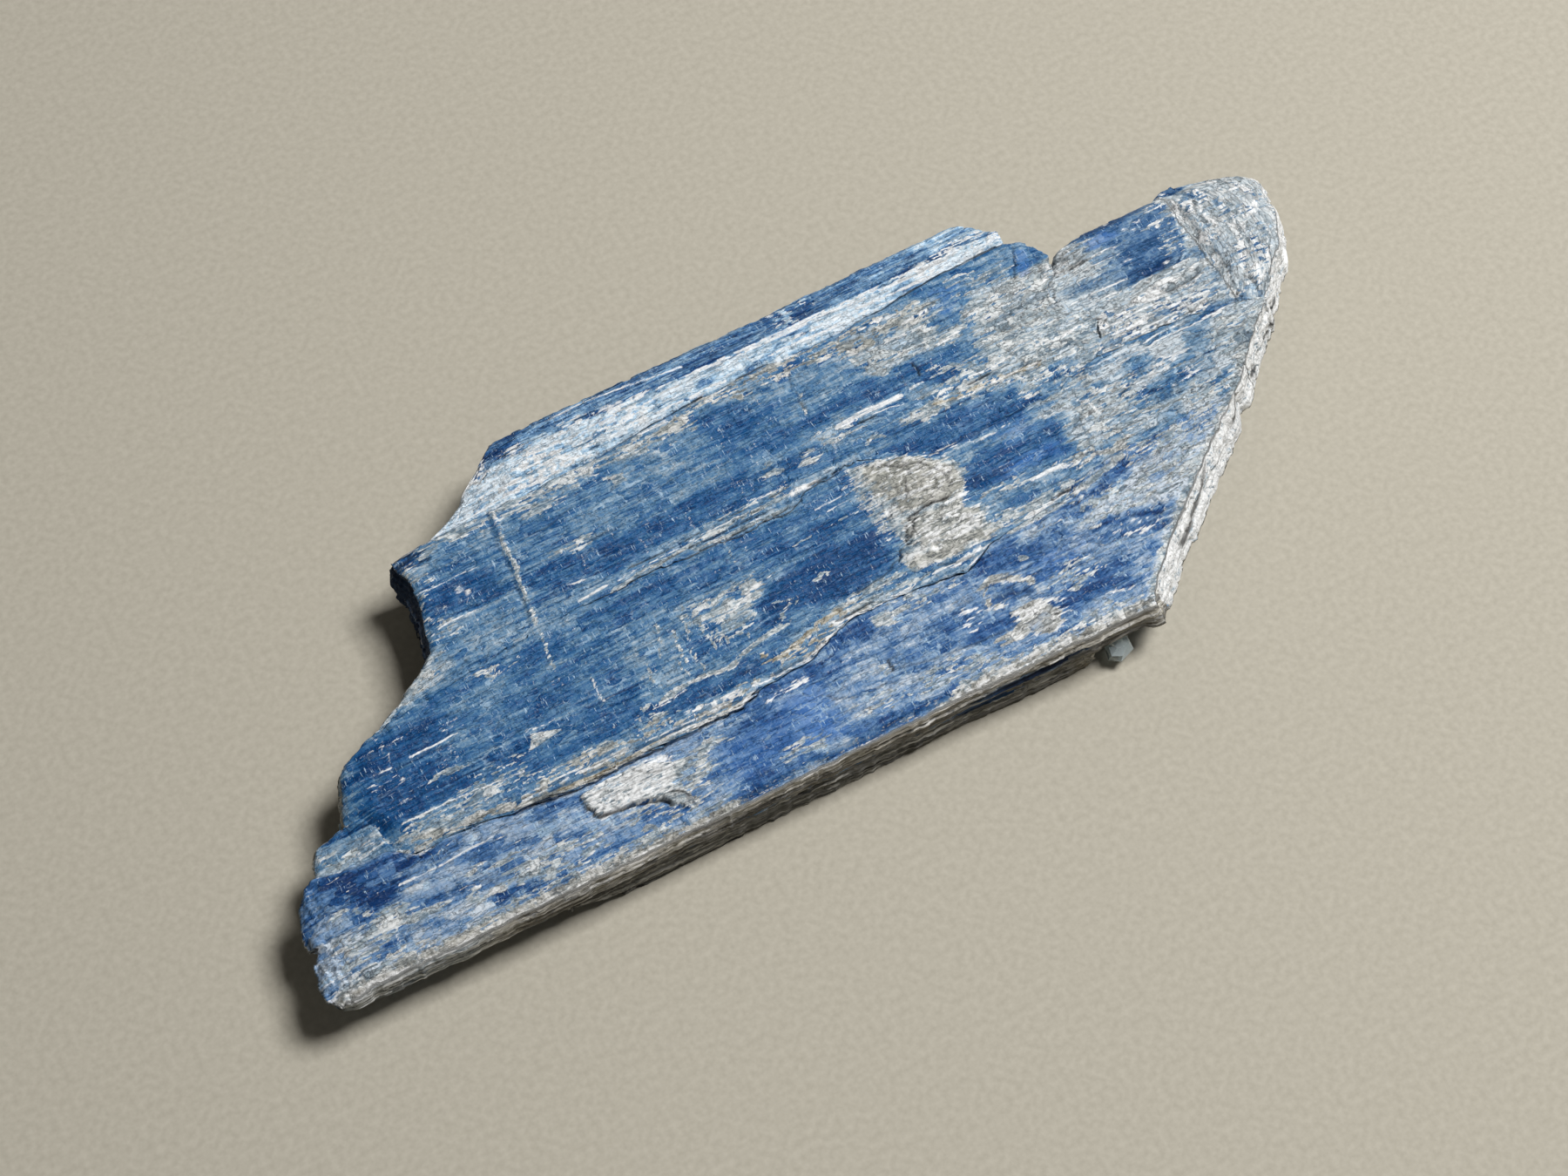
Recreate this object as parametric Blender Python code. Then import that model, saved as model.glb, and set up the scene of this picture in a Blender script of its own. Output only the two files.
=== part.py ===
"""Kyanite blade cluster: nine blades that grew side by side and one on another, as plain solids.

The blades run along X, stand side by side along Y and lie on the plane Z = 0. Outlines are in
millimetres, seen from above, with X = 0 at the low left tips and Y = 0 just in front of the long
side wall. Every outline runs anticlockwise, and neighbours share the points of their parting.
At the end the whole cluster is moved so that the middle of its footprint is the world origin.
"""

from typing import NamedTuple

import bmesh
import bpy
from mathutils import Matrix, Vector

MM = 0.001
COLLECTION_NAME = "kyanite_blade_cluster"
CUTTER_COLLECTION_NAME = "cutters"

# Heights above the surface that the cluster lies on.
UNDER_TOP = 2.1
UPPER_FLOOR = 2.4
FRONT_TOP = 4.5
CORNER_TOP = 3.9
MIDDLE_TOP = 4.8
UPPER_TOP = 5.0
END_TOP = 4.9
REAR_FLOOR = 0.8
REAR_TOP = 5.3
CHIP_TOP = 1.5

HAIRLINE = 0.3  # the parting that is left open between two neighbours
LAMINA_LAP = 0.1  # how far one lamina reaches into the next, so that they join
REAR_RIDGE_Y = 26.0  # the line where the rear blade turns from its pale to its dark face
REAR_BEVEL_DROP = 1.2  # how far the dark face falls from the ridge to the back edge
REAR_BEVEL_RUN = 1.9
REAR_MIDDLE_X = 37.0
WEDGE_LENGTH = 60.0  # the cutter of the dark face, longer and higher than the blade
WEDGE_HEIGHT = 3.0
PLATE_DEPTH = 0.5  # a plate on a blade's top, the lower half of it rooted in the blade
WELD = 0.00001  # metres: nearer points than this on a slab are one point
MITRE_LIMIT = 0.6  # keeps the inset of a sharp corner from running away

# Partings, left to right. Each is shared by the blades on both sides of it.
FRONT_PARTING = [
    (8.2, 6.05), (10.0, 6.25), (12.5, 6.15), (13.2, 5.75), (16.4, 5.4), (24.5, 5.45), (27.0, 5.4),
    (28.5, 6.0), (31.5, 6.15), (33.3, 7.0), (35.0, 7.45), (40.3, 7.1), (41.8, 6.75), (44.0, 7.8),
    (48.6, 8.15), (52.0, 9.25), (54.0, 9.5), (60.0, 9.7), (62.0, 9.9),
]
MIDDLE_PARTING = [
    (7.4, 13.1), (8.6, 13.5), (10.0, 13.8), (14.0, 14.15), (17.0, 14.7), (22.0, 15.1), (28.0, 15.1),
    (31.0, 14.9), (35.0, 14.9), (36.5, 15.5), (40.0, 15.9), (41.5, 15.3), (43.0, 14.7),
    (44.5, 14.2), (51.4, 14.6), (53.5, 15.0), (55.6, 15.3),
]
MIDDLE_END_PARTING = [(55.6, 15.3), (60.0, 15.3), (64.0, 15.0), (66.4, 14.2)]
UPPER_END_PARTING = [(55.6, 15.3), (56.9, 17.3), (55.3, 20.2), (56.2, 21.6), (57.0, 22.8)]
REAR_PARTING = [
    (18.3, 23.6), (20.0, 23.2), (25.5, 23.2), (32.0, 23.85), (38.1, 24.15), (39.5, 23.9),
    (45.0, 24.15), (50.0, 24.75), (54.8, 24.85),
]
CORNER_LIP = [(5.1, 9.6), (5.9, 8.6), (6.05, 7.6), (6.3, 7.05)]
CORNER_FOOT = [(2.4, 7.6), (3.4, 7.35), (5.2, 7.15), (6.3, 7.05)]

# Free edges of the blades.
FRONT_EDGE = [(0.9, 0.75), (3.0, 0.8), (13.0, 0.65), (36.0, 0.6), (45.0, 0.35), (50.8, 0.1)]
FRONT_LEFT_END = [
    (1.8, 7.3), (1.2, 6.8), (0.7, 5.8), (0.4, 4.9), (0.45, 4.3), (0.95, 3.95), (0.4, 3.3),
    (0.12, 2.0), (0.3, 1.2),
]
FRONT_RIGHT_END = [(51.6, 0.7), (53.0, 2.1), (54.4, 3.4), (56.0, 4.8), (57.6, 6.3), (59.5, 7.9)]
CORNER_END = [(4.2, 9.4), (3.25, 9.25), (2.9, 8.8), (2.6, 8.3)]
MIDDLE_LEFT_END = [(6.6, 12.75), (6.1, 12.3), (5.75, 11.5), (5.3, 10.4)]
MIDDLE_RIGHT_END = [(62.7, 10.4), (64.2, 12.0), (65.4, 13.3)]
UPPER_LEFT_END = [
    (14.0, 23.0), (13.9, 22.2), (14.3, 21.0), (14.15, 19.5), (13.85, 18.0), (13.6, 16.4),
    (12.7, 15.85), (11.3, 15.25), (10.2, 14.65), (9.0, 14.15),
]
UPPER_REAR_CORNER = [(56.5, 24.35), (56.4, 23.3)]
END_TIP = [
    (68.2, 15.6), (69.7, 17.2), (70.6, 19.0), (71.1, 20.6), (70.9, 21.8), (70.1, 22.6),
    (68.8, 23.2), (66.2, 23.8), (65.1, 23.7), (64.6, 23.4), (60.0, 23.4), (58.6, 23.2),
]
REAR_LEFT_END = [(22.6, 27.3), (21.4, 27.0), (20.4, 26.1), (19.9, 25.6), (19.0, 25.0)]
REAR_RIGHT_END = [(55.0, 25.5), (54.4, 26.1), (54.2, 27.0), (53.4, 27.6)]
REAR_EDGE = [(52.5, 27.8), (47.0, 27.75), (40.0, 27.5), (28.0, 27.4)]

# The blades underneath, and the loose chip at their right end.
FRONT_UNDER_OUTLINE = [
    (14.6, 0.85), (36.0, 0.75), (46.4, 0.5), (47.2, 1.4), (46.6, 3.0), (46.9, 5.1), (30.0, 5.2),
    (16.0, 5.1), (15.0, 3.2),
]
REAR_UNDER_OUTLINE = [
    (15.2, 5.1), (30.0, 5.2), (46.9, 5.1), (55.5, 5.3), (58.0, 7.4), (60.5, 9.2), (63.0, 11.0),
    (66.0, 13.9), (68.5, 16.6), (69.6, 18.6), (69.3, 20.8), (67.0, 22.3), (56.0, 22.3),
    (40.0, 23.2), (24.0, 22.4), (14.4, 22.5), (13.7, 21.4), (13.5, 19.5), (13.3, 17.0),
    (13.9, 14.8), (13.4, 11.5), (14.6, 8.4),
]
CHIP_OUTLINE = [(47.5, -0.15), (48.6, -0.4), (48.9, 0.15), (48.3, 0.9), (47.5, 0.7)]

# Plates that stand on a blade's top: a flake left on the front blade, and the bent end's ribs.
FLAKE_OUTLINE = [
    (17.3, 3.5), (19.2, 3.25), (20.6, 2.75), (21.6, 1.6), (22.3, 2.1), (21.5, 3.4), (23.6, 4.3),
    (21.0, 4.9), (16.9, 4.95), (16.8, 4.3),
]
FLAKE_TOP = 4.75
KNOT_OUTLINE = [
    (65.7, 15.6), (66.9, 15.3), (68.3, 17.1), (69.6, 19.2), (69.9, 21.3), (68.9, 22.3),
    (66.6, 23.0), (65.2, 22.6), (65.1, 19.0),
]
KNOT_TOP = 5.2


class Lamina(NamedTuple):
    """One flat lamina: its floor, its top, and how far its two ends reach past the outline."""

    floor: float
    top: float
    left: float = 0.0
    right: float = 0.0


def clear_scene():
    """Remove every object, mesh, curve and material that the file started with."""
    for store in (bpy.data.objects, bpy.data.meshes, bpy.data.curves, bpy.data.materials):
        for item in list(store):
            store.remove(item)


def new_collection(name):
    """Link a new collection into the scene."""
    collection = bpy.data.collections.new(name)
    bpy.context.scene.collection.children.link(collection)
    return collection


def linear(hex_colour):
    """Turn an sRGB hex colour into a linear RGBA tuple."""
    channels = [int(hex_colour[i : i + 2], 16) / 255 for i in (1, 3, 5)]
    low = [c / 12.92 if c <= 0.04045 else ((c + 0.055) / 1.055) ** 2.4 for c in channels]
    return (*low, 1.0)


def make_material(name, hex_colour, roughness):
    """A plain Principled material for one blade."""
    material = bpy.data.materials.new(name)
    material.use_nodes = True
    shader = material.node_tree.nodes["Principled BSDF"]
    shader.inputs["Base Color"].default_value = linear(hex_colour)
    shader.inputs["Roughness"].default_value = roughness
    shader.inputs["Metallic"].default_value = 0.0
    material.diffuse_color = linear(hex_colour)
    return material


def inset(outline, distance):
    """Move every side of an anticlockwise outline inwards by the same distance."""
    points = [Vector(point) for point in outline]
    moved = []
    for before, here, after in zip(points[-1:] + points[:-1], points, points[1:] + points[:1]):
        came = (here - before).normalized()
        goes = (after - here).normalized()
        normals = Vector((-came.y, came.x)) + Vector((-goes.y, goes.x))
        moved.append(here + normals * (distance / max(1 + came.dot(goes), MITRE_LIMIT)))
    return moved


def staggered(outline, left, right):
    """Stretch an outline along X, so that its ends reach past where they were."""
    low = min(point.x for point in outline)
    length = max(point.x for point in outline) - low
    stretched = []
    for point in outline:
        share = (point.x - low) / length
        stretched.append(Vector((point.x - left * (1 - share) + right * share, point.y)))
    return stretched


def slab(name, outline, floor, top):
    """A flat plate of this outline: a filled 2D curve with an extrude, made a mesh."""
    curve = bpy.data.curves.new(name, "CURVE")
    curve.dimensions = "2D"
    curve.fill_mode = "BOTH"
    curve.extrude = (top - floor) / 2 * MM
    spline = curve.splines.new("POLY")
    spline.points.add(len(outline) - 1)
    for point, place in zip(spline.points, outline):
        point.co = (place.x * MM, place.y * MM, 0.0, 1.0)
    spline.use_cyclic_u = True
    guide = bpy.data.objects.new(name + "_outline", curve)
    guide.location.z = (floor + top) / 2 * MM
    bpy.context.scene.collection.objects.link(guide)
    bpy.context.view_layer.update()
    graph = bpy.context.evaluated_depsgraph_get()
    mesh = bpy.data.meshes.new_from_object(guide.evaluated_get(graph))
    mesh.transform(guide.matrix_world)
    bpy.data.objects.remove(guide)
    bpy.data.curves.remove(curve)
    edit = bmesh.new()
    edit.from_mesh(mesh)
    bmesh.ops.remove_doubles(edit, verts=edit.verts, dist=WELD)
    bmesh.ops.recalc_face_normals(edit, faces=edit.faces)
    edit.to_mesh(mesh)
    edit.free()
    return bpy.data.objects.new(name, mesh)


def add_boolean(obj, other, operation):
    """Join the other solid to this one, or cut it away, and put it with the cutters."""
    cutters.objects.link(other)
    other.hide_render = True
    other.display_type = "WIRE"
    other.parent = frame
    modifier = obj.modifiers.new(operation.title() + "_" + other.name, "BOOLEAN")
    modifier.operation = operation
    modifier.solver = "EXACT"
    modifier.object = other


def blade(name, outline, laminae, hex_colour, roughness=0.4):
    """One blade: its laminae from the floor up, joined in one body, with its own material."""
    ring = inset(outline, HAIRLINE / 2)
    first = laminae[0]
    body = slab(name, staggered(ring, first.left, first.right), first.floor, first.top)
    body.data.materials.append(make_material(name, hex_colour, roughness))
    parts.objects.link(body)
    body.parent = frame
    for count, lamina in enumerate(laminae[1:], start=2):
        plate_ring = staggered(ring, lamina.left, lamina.right)
        plate = slab(f"{name}_lamina_{count}", plate_ring, lamina.floor - LAMINA_LAP, lamina.top)
        add_boolean(body, plate, "UNION")
    return body


def add_plate(body, name, outline, top):
    """Join a thin plate that stands on the blade's top."""
    plate = slab(name, [Vector(point) for point in outline], top - PLATE_DEPTH, top)
    add_boolean(body, plate, "UNION")


def bevel_rear_blade(body):
    """Cut the dark face that falls from the ridge to the back edge of the rear blade."""
    edit = bmesh.new()
    bmesh.ops.create_cube(edit, size=1.0)
    run = REAR_BEVEL_RUN * 2
    bmesh.ops.scale(edit, vec=(WEDGE_LENGTH, run, WEDGE_HEIGHT), verts=edit.verts)
    bmesh.ops.translate(edit, vec=(0.0, run / 2, WEDGE_HEIGHT / 2), verts=edit.verts)
    slope = Vector((0.0, REAR_BEVEL_RUN, -REAR_BEVEL_DROP)).to_track_quat("Y", "Z")
    turn = slope.to_matrix().to_4x4()
    place = Matrix.Translation((REAR_MIDDLE_X, REAR_RIDGE_Y, REAR_TOP))
    bmesh.ops.transform(edit, matrix=Matrix.Scale(MM, 4) @ place @ turn, verts=edit.verts)
    mesh = bpy.data.meshes.new("rear_bevel_wedge")
    edit.to_mesh(mesh)
    edit.free()
    add_boolean(body, bpy.data.objects.new("rear_bevel_wedge", mesh), "DIFFERENCE")


def front_blades():
    """The front blade with the long side wall, and the small broken blade in its left corner."""
    outline = FRONT_EDGE + FRONT_RIGHT_END + FRONT_PARTING[::-1] + CORNER_FOOT[::-1]
    laminae = [
        Lamina(UPPER_FLOOR, 3.3, left=-0.3, right=0.7),
        Lamina(3.3, 3.9, left=0.0, right=0.3),
        Lamina(3.9, FRONT_TOP, left=-0.15, right=-0.3),
    ]
    front = blade("front_blade", outline + FRONT_LEFT_END, laminae, "#5C7FA8")
    add_plate(front, "front_flake", FLAKE_OUTLINE, FLAKE_TOP)
    corner = CORNER_FOOT + CORNER_LIP[::-1][1:] + CORNER_END
    laminae = [
        Lamina(UPPER_FLOOR, 3.2, left=0.1),
        Lamina(3.2, CORNER_TOP, left=-0.1),
    ]
    blade("corner_blade", corner, laminae, "#6D8093")


def middle_blade():
    """The broad blade with the rounded left end."""
    rim = FRONT_PARTING + MIDDLE_RIGHT_END + MIDDLE_END_PARTING[::-1] + MIDDLE_PARTING[-2::-1]
    laminae = [
        Lamina(UPPER_FLOOR, 3.4, left=-0.4, right=0.6),
        Lamina(3.4, 4.2, left=-0.1, right=0.2),
        Lamina(4.2, MIDDLE_TOP, left=-0.25, right=-0.4),
    ]
    blade("middle_blade", rim + MIDDLE_LEFT_END + CORNER_LIP, laminae, "#2F5C98", 0.35)


def upper_blades():
    """The highest blade, square across at its left end, and the bent blade beyond its right end."""
    rim = MIDDLE_PARTING[1:] + UPPER_END_PARTING[1:] + UPPER_REAR_CORNER[::-1] + REAR_PARTING[::-1]
    laminae = [
        Lamina(UPPER_FLOOR, 3.5, left=0.15),
        Lamina(3.5, 4.3, left=0.3),
        Lamina(4.3, UPPER_TOP, left=-0.1),
    ]
    blade("upper_blade", rim + UPPER_LEFT_END, laminae, "#4A74AB", 0.35)
    rim = MIDDLE_END_PARTING + END_TIP + UPPER_END_PARTING[:0:-1]
    laminae = [
        Lamina(UPPER_FLOOR, 3.4, right=0.3),
        Lamina(3.4, 4.2, right=0.0),
        Lamina(4.2, END_TOP, right=-0.5),
    ]
    add_plate(blade("end_blade", rim, laminae, "#8C9CA8", 0.5), "bent_end", KNOT_OUTLINE, KNOT_TOP)


def rear_blade():
    """The long narrow blade behind, with one pale face and one dark face."""
    outline = REAR_PARTING + REAR_RIGHT_END + REAR_EDGE + REAR_LEFT_END
    laminae = [
        Lamina(REAR_FLOOR, 2.2, left=-0.8, right=-0.6),
        Lamina(2.2, 3.6, left=-0.2, right=0.2),
        Lamina(3.6, REAR_TOP, left=-0.4, right=-0.2),
    ]
    bevel_rear_blade(blade("rear_blade", outline, laminae, "#B4C4D8", 0.3))


def under_blades():
    """The two blades that the cluster lies on, and the chip at the foot of the side wall."""
    laminae = [
        Lamina(0.0, 0.8, left=-4.0, right=-0.3),
        Lamina(0.8, 1.5, left=-1.6, right=0.2),
        Lamina(1.5, UNDER_TOP),
    ]
    blade("front_under_blade", FRONT_UNDER_OUTLINE, laminae, "#4A4D4C", 0.6)
    laminae = [
        Lamina(0.0, 0.7, left=-0.5, right=-0.8),
        Lamina(0.7, 1.4, left=0.1, right=0.2),
        Lamina(1.4, UNDER_TOP, left=-0.1, right=0.5),
    ]
    blade("rear_under_blade", REAR_UNDER_OUTLINE, laminae, "#55606B", 0.6)
    blade("chip", CHIP_OUTLINE, [Lamina(0.0, CHIP_TOP)], "#9FBCC4", 0.15)


def stand_on_origin():
    """Move the whole cluster so that the middle of its footprint is the world origin."""
    bpy.context.view_layer.update()
    graph = bpy.context.evaluated_depsgraph_get()
    corners = []
    for obj in parts.objects:
        seen = obj.evaluated_get(graph)
        corners += [seen.matrix_world @ Vector(corner) for corner in seen.bound_box]
    low = Vector([min(corner[axis] for corner in corners) for axis in range(3)])
    high = Vector([max(corner[axis] for corner in corners) for axis in range(3)])
    frame.location = (-(low.x + high.x) / 2, -(low.y + high.y) / 2, -low.z)
    bpy.context.view_layer.update()


clear_scene()
parts = new_collection(COLLECTION_NAME)
cutters = new_collection(CUTTER_COLLECTION_NAME)
frame = bpy.data.objects.new("cluster_frame", None)
parts.objects.link(frame)
front_blades()
middle_blade()
upper_blades()
rear_blade()
under_blades()
stand_on_origin()
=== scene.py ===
"""Looks of a kyanite blade cluster: nine cleaved, streaked and clay-stained blades on a pale floor.

Shapes are worked out in blade millimetres: X runs along the blades from the low left tips, Y runs
across them from just in front of the long side wall, and Z is the height above the floor. Each
blade's mesh is moved by FOOTPRINT_MIDDLE and turned to metres when it is made.
"""

import logging
from dataclasses import dataclass
from enum import Enum
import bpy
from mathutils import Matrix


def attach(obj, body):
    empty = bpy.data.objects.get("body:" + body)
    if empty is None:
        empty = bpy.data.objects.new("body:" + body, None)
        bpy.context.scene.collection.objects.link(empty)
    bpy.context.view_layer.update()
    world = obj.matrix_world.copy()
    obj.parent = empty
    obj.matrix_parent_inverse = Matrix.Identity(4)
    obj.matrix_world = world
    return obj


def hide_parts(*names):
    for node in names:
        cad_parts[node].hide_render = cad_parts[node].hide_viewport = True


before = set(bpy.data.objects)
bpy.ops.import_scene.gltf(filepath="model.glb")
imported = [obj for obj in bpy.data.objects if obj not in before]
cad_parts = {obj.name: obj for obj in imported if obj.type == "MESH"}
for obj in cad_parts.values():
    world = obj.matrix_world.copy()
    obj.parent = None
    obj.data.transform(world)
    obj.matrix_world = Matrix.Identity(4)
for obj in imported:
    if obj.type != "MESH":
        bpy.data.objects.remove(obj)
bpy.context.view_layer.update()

from types import SimpleNamespace

import bpy
import numpy as np
from mathutils import Vector

MM = 0.001
FOOTPRINT_MIDDLE = (35.6231, 13.7106)  # blade millimetres at the frame's origin
RANDOM = np.random.default_rng(31).random(1 << 16)
LOG = logging.getLogger("kyanite")

Array = np.ndarray
Points = tuple[tuple[float, float], ...]
Row = tuple[float, ...]  # numbers that belong together, in the order that the reader names
Stops = tuple[tuple[float, str], ...]  # places from 0 to 1, each with an sRGB hex colour
Grains = tuple[float, float, float]  # millimetres along, millimetres across, levels of detail
Cut = tuple[float, float]  # where something starts to show, and where it shows in full


def lookup(seed: int, first: Array, second: Array) -> Array:
    """Pick a random value for each pair of whole numbers.

    Args:
        seed: tells one pattern from another.
        first: whole numbers, such as row numbers.
        second: whole numbers, such as places along a row.

    Returns:
        Values from 0 to 1, the same for the same pair.
    """
    return RANDOM[(first * 7919 + second * 104729 + seed * 15485863) % RANDOM.size]


def rise(low: float, high: float, value: Array) -> Array:
    """Go smoothly from 0 at low to 1 at high, as 3t squared minus 2t cubed.

    Args:
        low: where the rise starts.
        high: where the rise ends.
        value: where to read it.

    Returns:
        Values from 0 to 1.
    """
    t = np.clip((value - low) / (high - low), 0.0, 1.0)
    return t * t * (3 - 2 * t)


@dataclass(frozen=True)
class Grain:
    """Smooth noise on a lattice of long cells: corner values blended by the eased cell place."""

    seed: int
    length: float
    width: float

    def at(self, x: Array, y: Array) -> Array:
        """Read the noise.

        Args:
            x: millimetres along the cells' length.
            y: millimetres along the cells' width.

        Returns:
            Values from 0 to 1.
        """
        u, v = x / self.length, y / self.width
        column, row = np.floor(u).astype(np.int64), np.floor(v).astype(np.int64)
        fu, fv = rise(0.0, 1.0, u - column), rise(0.0, 1.0, v - row)
        near, far = (
            lookup(self.seed, line, column) * (1 - fu) + lookup(self.seed, line, column + 1) * fu
            for line in (row, row + 1)
        )
        return near * (1 - fv) + far * fv


@dataclass(frozen=True)
class Laths:
    """Flat values on ragged rows of laths, as cleavage splinters lie: rows wander a little in Y, and
    each row is cut along X at its own places."""

    seed: int
    length: float
    width: float

    def at(self, x: Array, y: Array) -> Array:
        """Read the value of the lath that each point lies on.

        Args:
            x: millimetres along the laths.
            y: millimetres across the laths.

        Returns:
            Values from 0 to 1, constant on each lath.
        """
        wander = Grain(self.seed + 1, 3 * self.length, 5 * self.width).at(x, y)
        wander += 0.5 * Grain(self.seed + 2, 0.8 * self.length, 2 * self.width).at(x, y)
        row = np.floor(y / self.width + 1.3 * wander).astype(np.int64)
        stretch = 0.6 + 0.9 * lookup(self.seed + 3, row, row)
        cell = np.floor(x / self.length * stretch + 91 * lookup(self.seed + 4, row, row))
        return lookup(self.seed, row, cell.astype(np.int64))


def swing(*parts: tuple[float, object]) -> object:
    """Add up noises about their middles: each share times the noise less a half.

    Args:
        parts: shares, each with its noise. The noises are all arrays or all wires of a node tree.

    Returns:
        The sum, of the same type as the noises.
    """
    swings = [(noise - 0.5) * share for share, noise in parts]
    return sum(swings[1:], swings[0])


def swing_at(x: Array, y: Array, *parts: tuple[float, Grain | Laths]) -> Array:
    """Add up the swings of noises that are read at the same points."""
    return swing(*((share, noise.at(x, y)) for share, noise in parts))


class Kind(Enum):
    """What a mark changes. All but LIFT are kept on the mesh for its material."""

    TONE = "tone"
    CLAY = "clay"
    WARM = "warm"
    # White flakes, and also painted highlights on ledges, painted glints and painted sheen.
    FLAKE = "flake"
    # Grime and dark cracks, and also painted shade in creases and under steps.
    GRIME = "grime"
    CRAZE = "craze"
    VIVID = "vivid"
    LIFT = "lift"


T, C, W, F, G, Z, V, L = Kind


@dataclass
class Place:
    """Points on a surface, with the pulls that make a mark's edge ragged there.

    The pull along X is nearly constant on a thin row, so a mark ends in splinters; the pull across
    is small and smooth. torn says where a mark that covers only a part is open.
    """

    x: Array
    y: Array

    def __post_init__(self) -> None:
        """Work out the pulls and the torn pattern."""
        x, y = self.x, self.y
        splinters = (1.5, Laths(11, 4.0, 0.2)), (0.7, Laths(15, 2.0, 0.09)), (1.1, Grain(19, 1.2, 0.7))
        self.pull_x = swing_at(x, y, *splinters)
        waves = (0.7, Grain(21, 1.3, 0.8)), (0.26, Grain(22, 0.35, 0.3)), (0.16, Laths(23, 0.7, 0.35))
        self.pull_y = swing_at(x, y, *waves)
        torn = 0.45 * Laths(27, 0.8, 0.12).at(x, y) + 0.3 * Grain(29, 0.9, 0.09).at(x, y)
        torn += 0.25 * Grain(30, 0.22, 0.2).at(x, y)
        self.torn = np.clip((torn - 0.5) * 1.9 + 0.5, 0.0, 1.0)

    def part(self, chosen: Array) -> "Place":
        """The chosen points only, with their pulls.

        Args:
            chosen: which points to keep.

        Returns:
            A place of those points.
        """
        piece = Place.__new__(Place)
        for name in ("x", "y", "pull_x", "pull_y", "torn"):
            setattr(piece, name, getattr(self, name)[chosen])
        return piece


def distance(x: Array, y: Array, points: Points) -> Array:
    """Distance to a polyline: the least of the distances to its segments.

    Args:
        x: millimetres along the blades.
        y: millimetres across the blades.
        points: the polyline's corners.

    Returns:
        Distances in millimetres.
    """
    nearest = np.full(x.shape, 1e9)
    for (ax, ay), (bx, by) in zip(points[:-1], points[1:]):
        dx, dy = bx - ax, by - ay
        share = ((x - ax) * dx + (y - ay) * dy) / (dx * dx + dy * dy)
        share = np.clip(share, 0.0, 1.0)
        nearest = np.minimum(nearest, np.hypot(x - ax - share * dx, y - ay - share * dy))
    return nearest


@dataclass(frozen=True)
class Mark:
    """A listed change of the surface: its kind, its value, and how much of itself it covers."""

    kind: Kind
    value: float
    points: Points
    cover: float = 1.0
    jag: float = 1.0
    soft: float = 1.0

    def reach(self) -> tuple[float, float, float, float]:
        """The lowest and highest X, then the lowest and highest Y, of the mark's points."""
        xs, ys = zip(*self.points)
        return min(xs), max(xs), min(ys), max(ys)

    def shape(self, place: Place) -> Array:
        """Each kind of mark says here where it lies, from 0 to 1."""
        raise NotImplementedError

    def strength(self, place: Place) -> Array:
        """The mark's shape, opened where the surface is torn.

        Args:
            place: the points to read it at.

        Returns:
            Values from 0 to 1.
        """
        shape = self.shape(place)
        if self.cover < 1.0:
            shape = shape * rise(0.88 - self.cover, 1.12 - self.cover, place.torn)
        return shape


@dataclass(frozen=True)
class Patch(Mark):
    """A block between two corner points, with splintered ends; lean tips it along X."""

    lean: float = 0.0

    def shape(self, place: Place) -> Array:
        """The product of two soft steps, one from each end and one from each side.

        Args:
            place: the points to read it at.

        Returns:
            Values from 0 to 1.
        """
        x0, x1, y0, y1 = self.reach()
        x = place.x + self.jag * place.pull_x - (x0 + x1) / 2
        y = place.y + self.jag * place.pull_y - (y0 + y1) / 2 - self.lean * x
        along = rise(-0.35 * self.soft, 0.35 * self.soft, (x1 - x0) / 2 - np.abs(x))
        return along * rise(-0.10 * self.soft, 0.10 * self.soft, (y1 - y0) / 2 - np.abs(y))


@dataclass(frozen=True)
class Streak(Mark):
    """A line of some width through given points."""

    width: float = 0.2

    def shape(self, place: Place) -> Array:
        """A soft step at half the width from the line.

        Args:
            place: the points to read it at.

        Returns:
            Values from 0 to 1.
        """
        jag = 0.3 * self.jag
        away = distance(place.x + jag * place.pull_x, place.y + jag * place.pull_y, self.points)
        return 1 - rise(0.5 * self.width - 0.05, 0.5 * self.width + 0.06, away)


@dataclass(frozen=True)
class Area(Mark):
    """A drawn outline, filled."""

    def shape(self, place: Place) -> Array:
        """A soft step on the distance to the outline, counted as negative outside it. A point is
        inside if a line to its right crosses the outline an odd number of times.

        Args:
            place: the points to read it at.

        Returns:
            Values from 0 to 1.
        """
        x = place.x + 0.4 * self.jag * place.pull_x
        y = place.y + 0.8 * self.jag * place.pull_y
        ring = self.points + self.points[:1]
        crossings = np.zeros(x.shape, int)
        for (ax, ay), (bx, by) in zip(ring[:-1], ring[1:]):
            if ay != by:
                between = (y >= min(ay, by)) & (y < max(ay, by))
                crossings += between & (x < ax + (y - ay) * (bx - ax) / (by - ay))
        signed = np.where(crossings % 2 == 1, 1.0, -1.0) * distance(x, y, ring)
        return rise(-0.08 * self.soft, 0.08 * self.soft, signed)


def pairs(row: Row) -> Points:
    """Take a row of X, Y, X, Y and so on as points."""
    return tuple(zip(row[::2], row[1::2]))


def blocks(kind: Kind, *rows: Row, **more: float) -> tuple[Patch, ...]:
    """Blocks of any kind. A row is the value, x0, x1, y0 and y1."""
    return tuple(Patch(kind, value, ((x0, y0), (x1, y1)), **more) for value, x0, x1, y0, y1 in rows)


def covers(kind: Kind, row: Row, **more: float) -> Patch:
    """A block at full value. The row is the share of it that is covered, x0, x1, y0 and y1."""
    return blocks(kind, (1.0, *row[1:]), cover=row[0], **more)[0]


def softness(row: Row, least: float, growth: float, most: float) -> float:
    """How soft a block's edges are: the longer it is along the blade, the softer."""
    return min(most, least + growth * (row[2] - row[1]))


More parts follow.
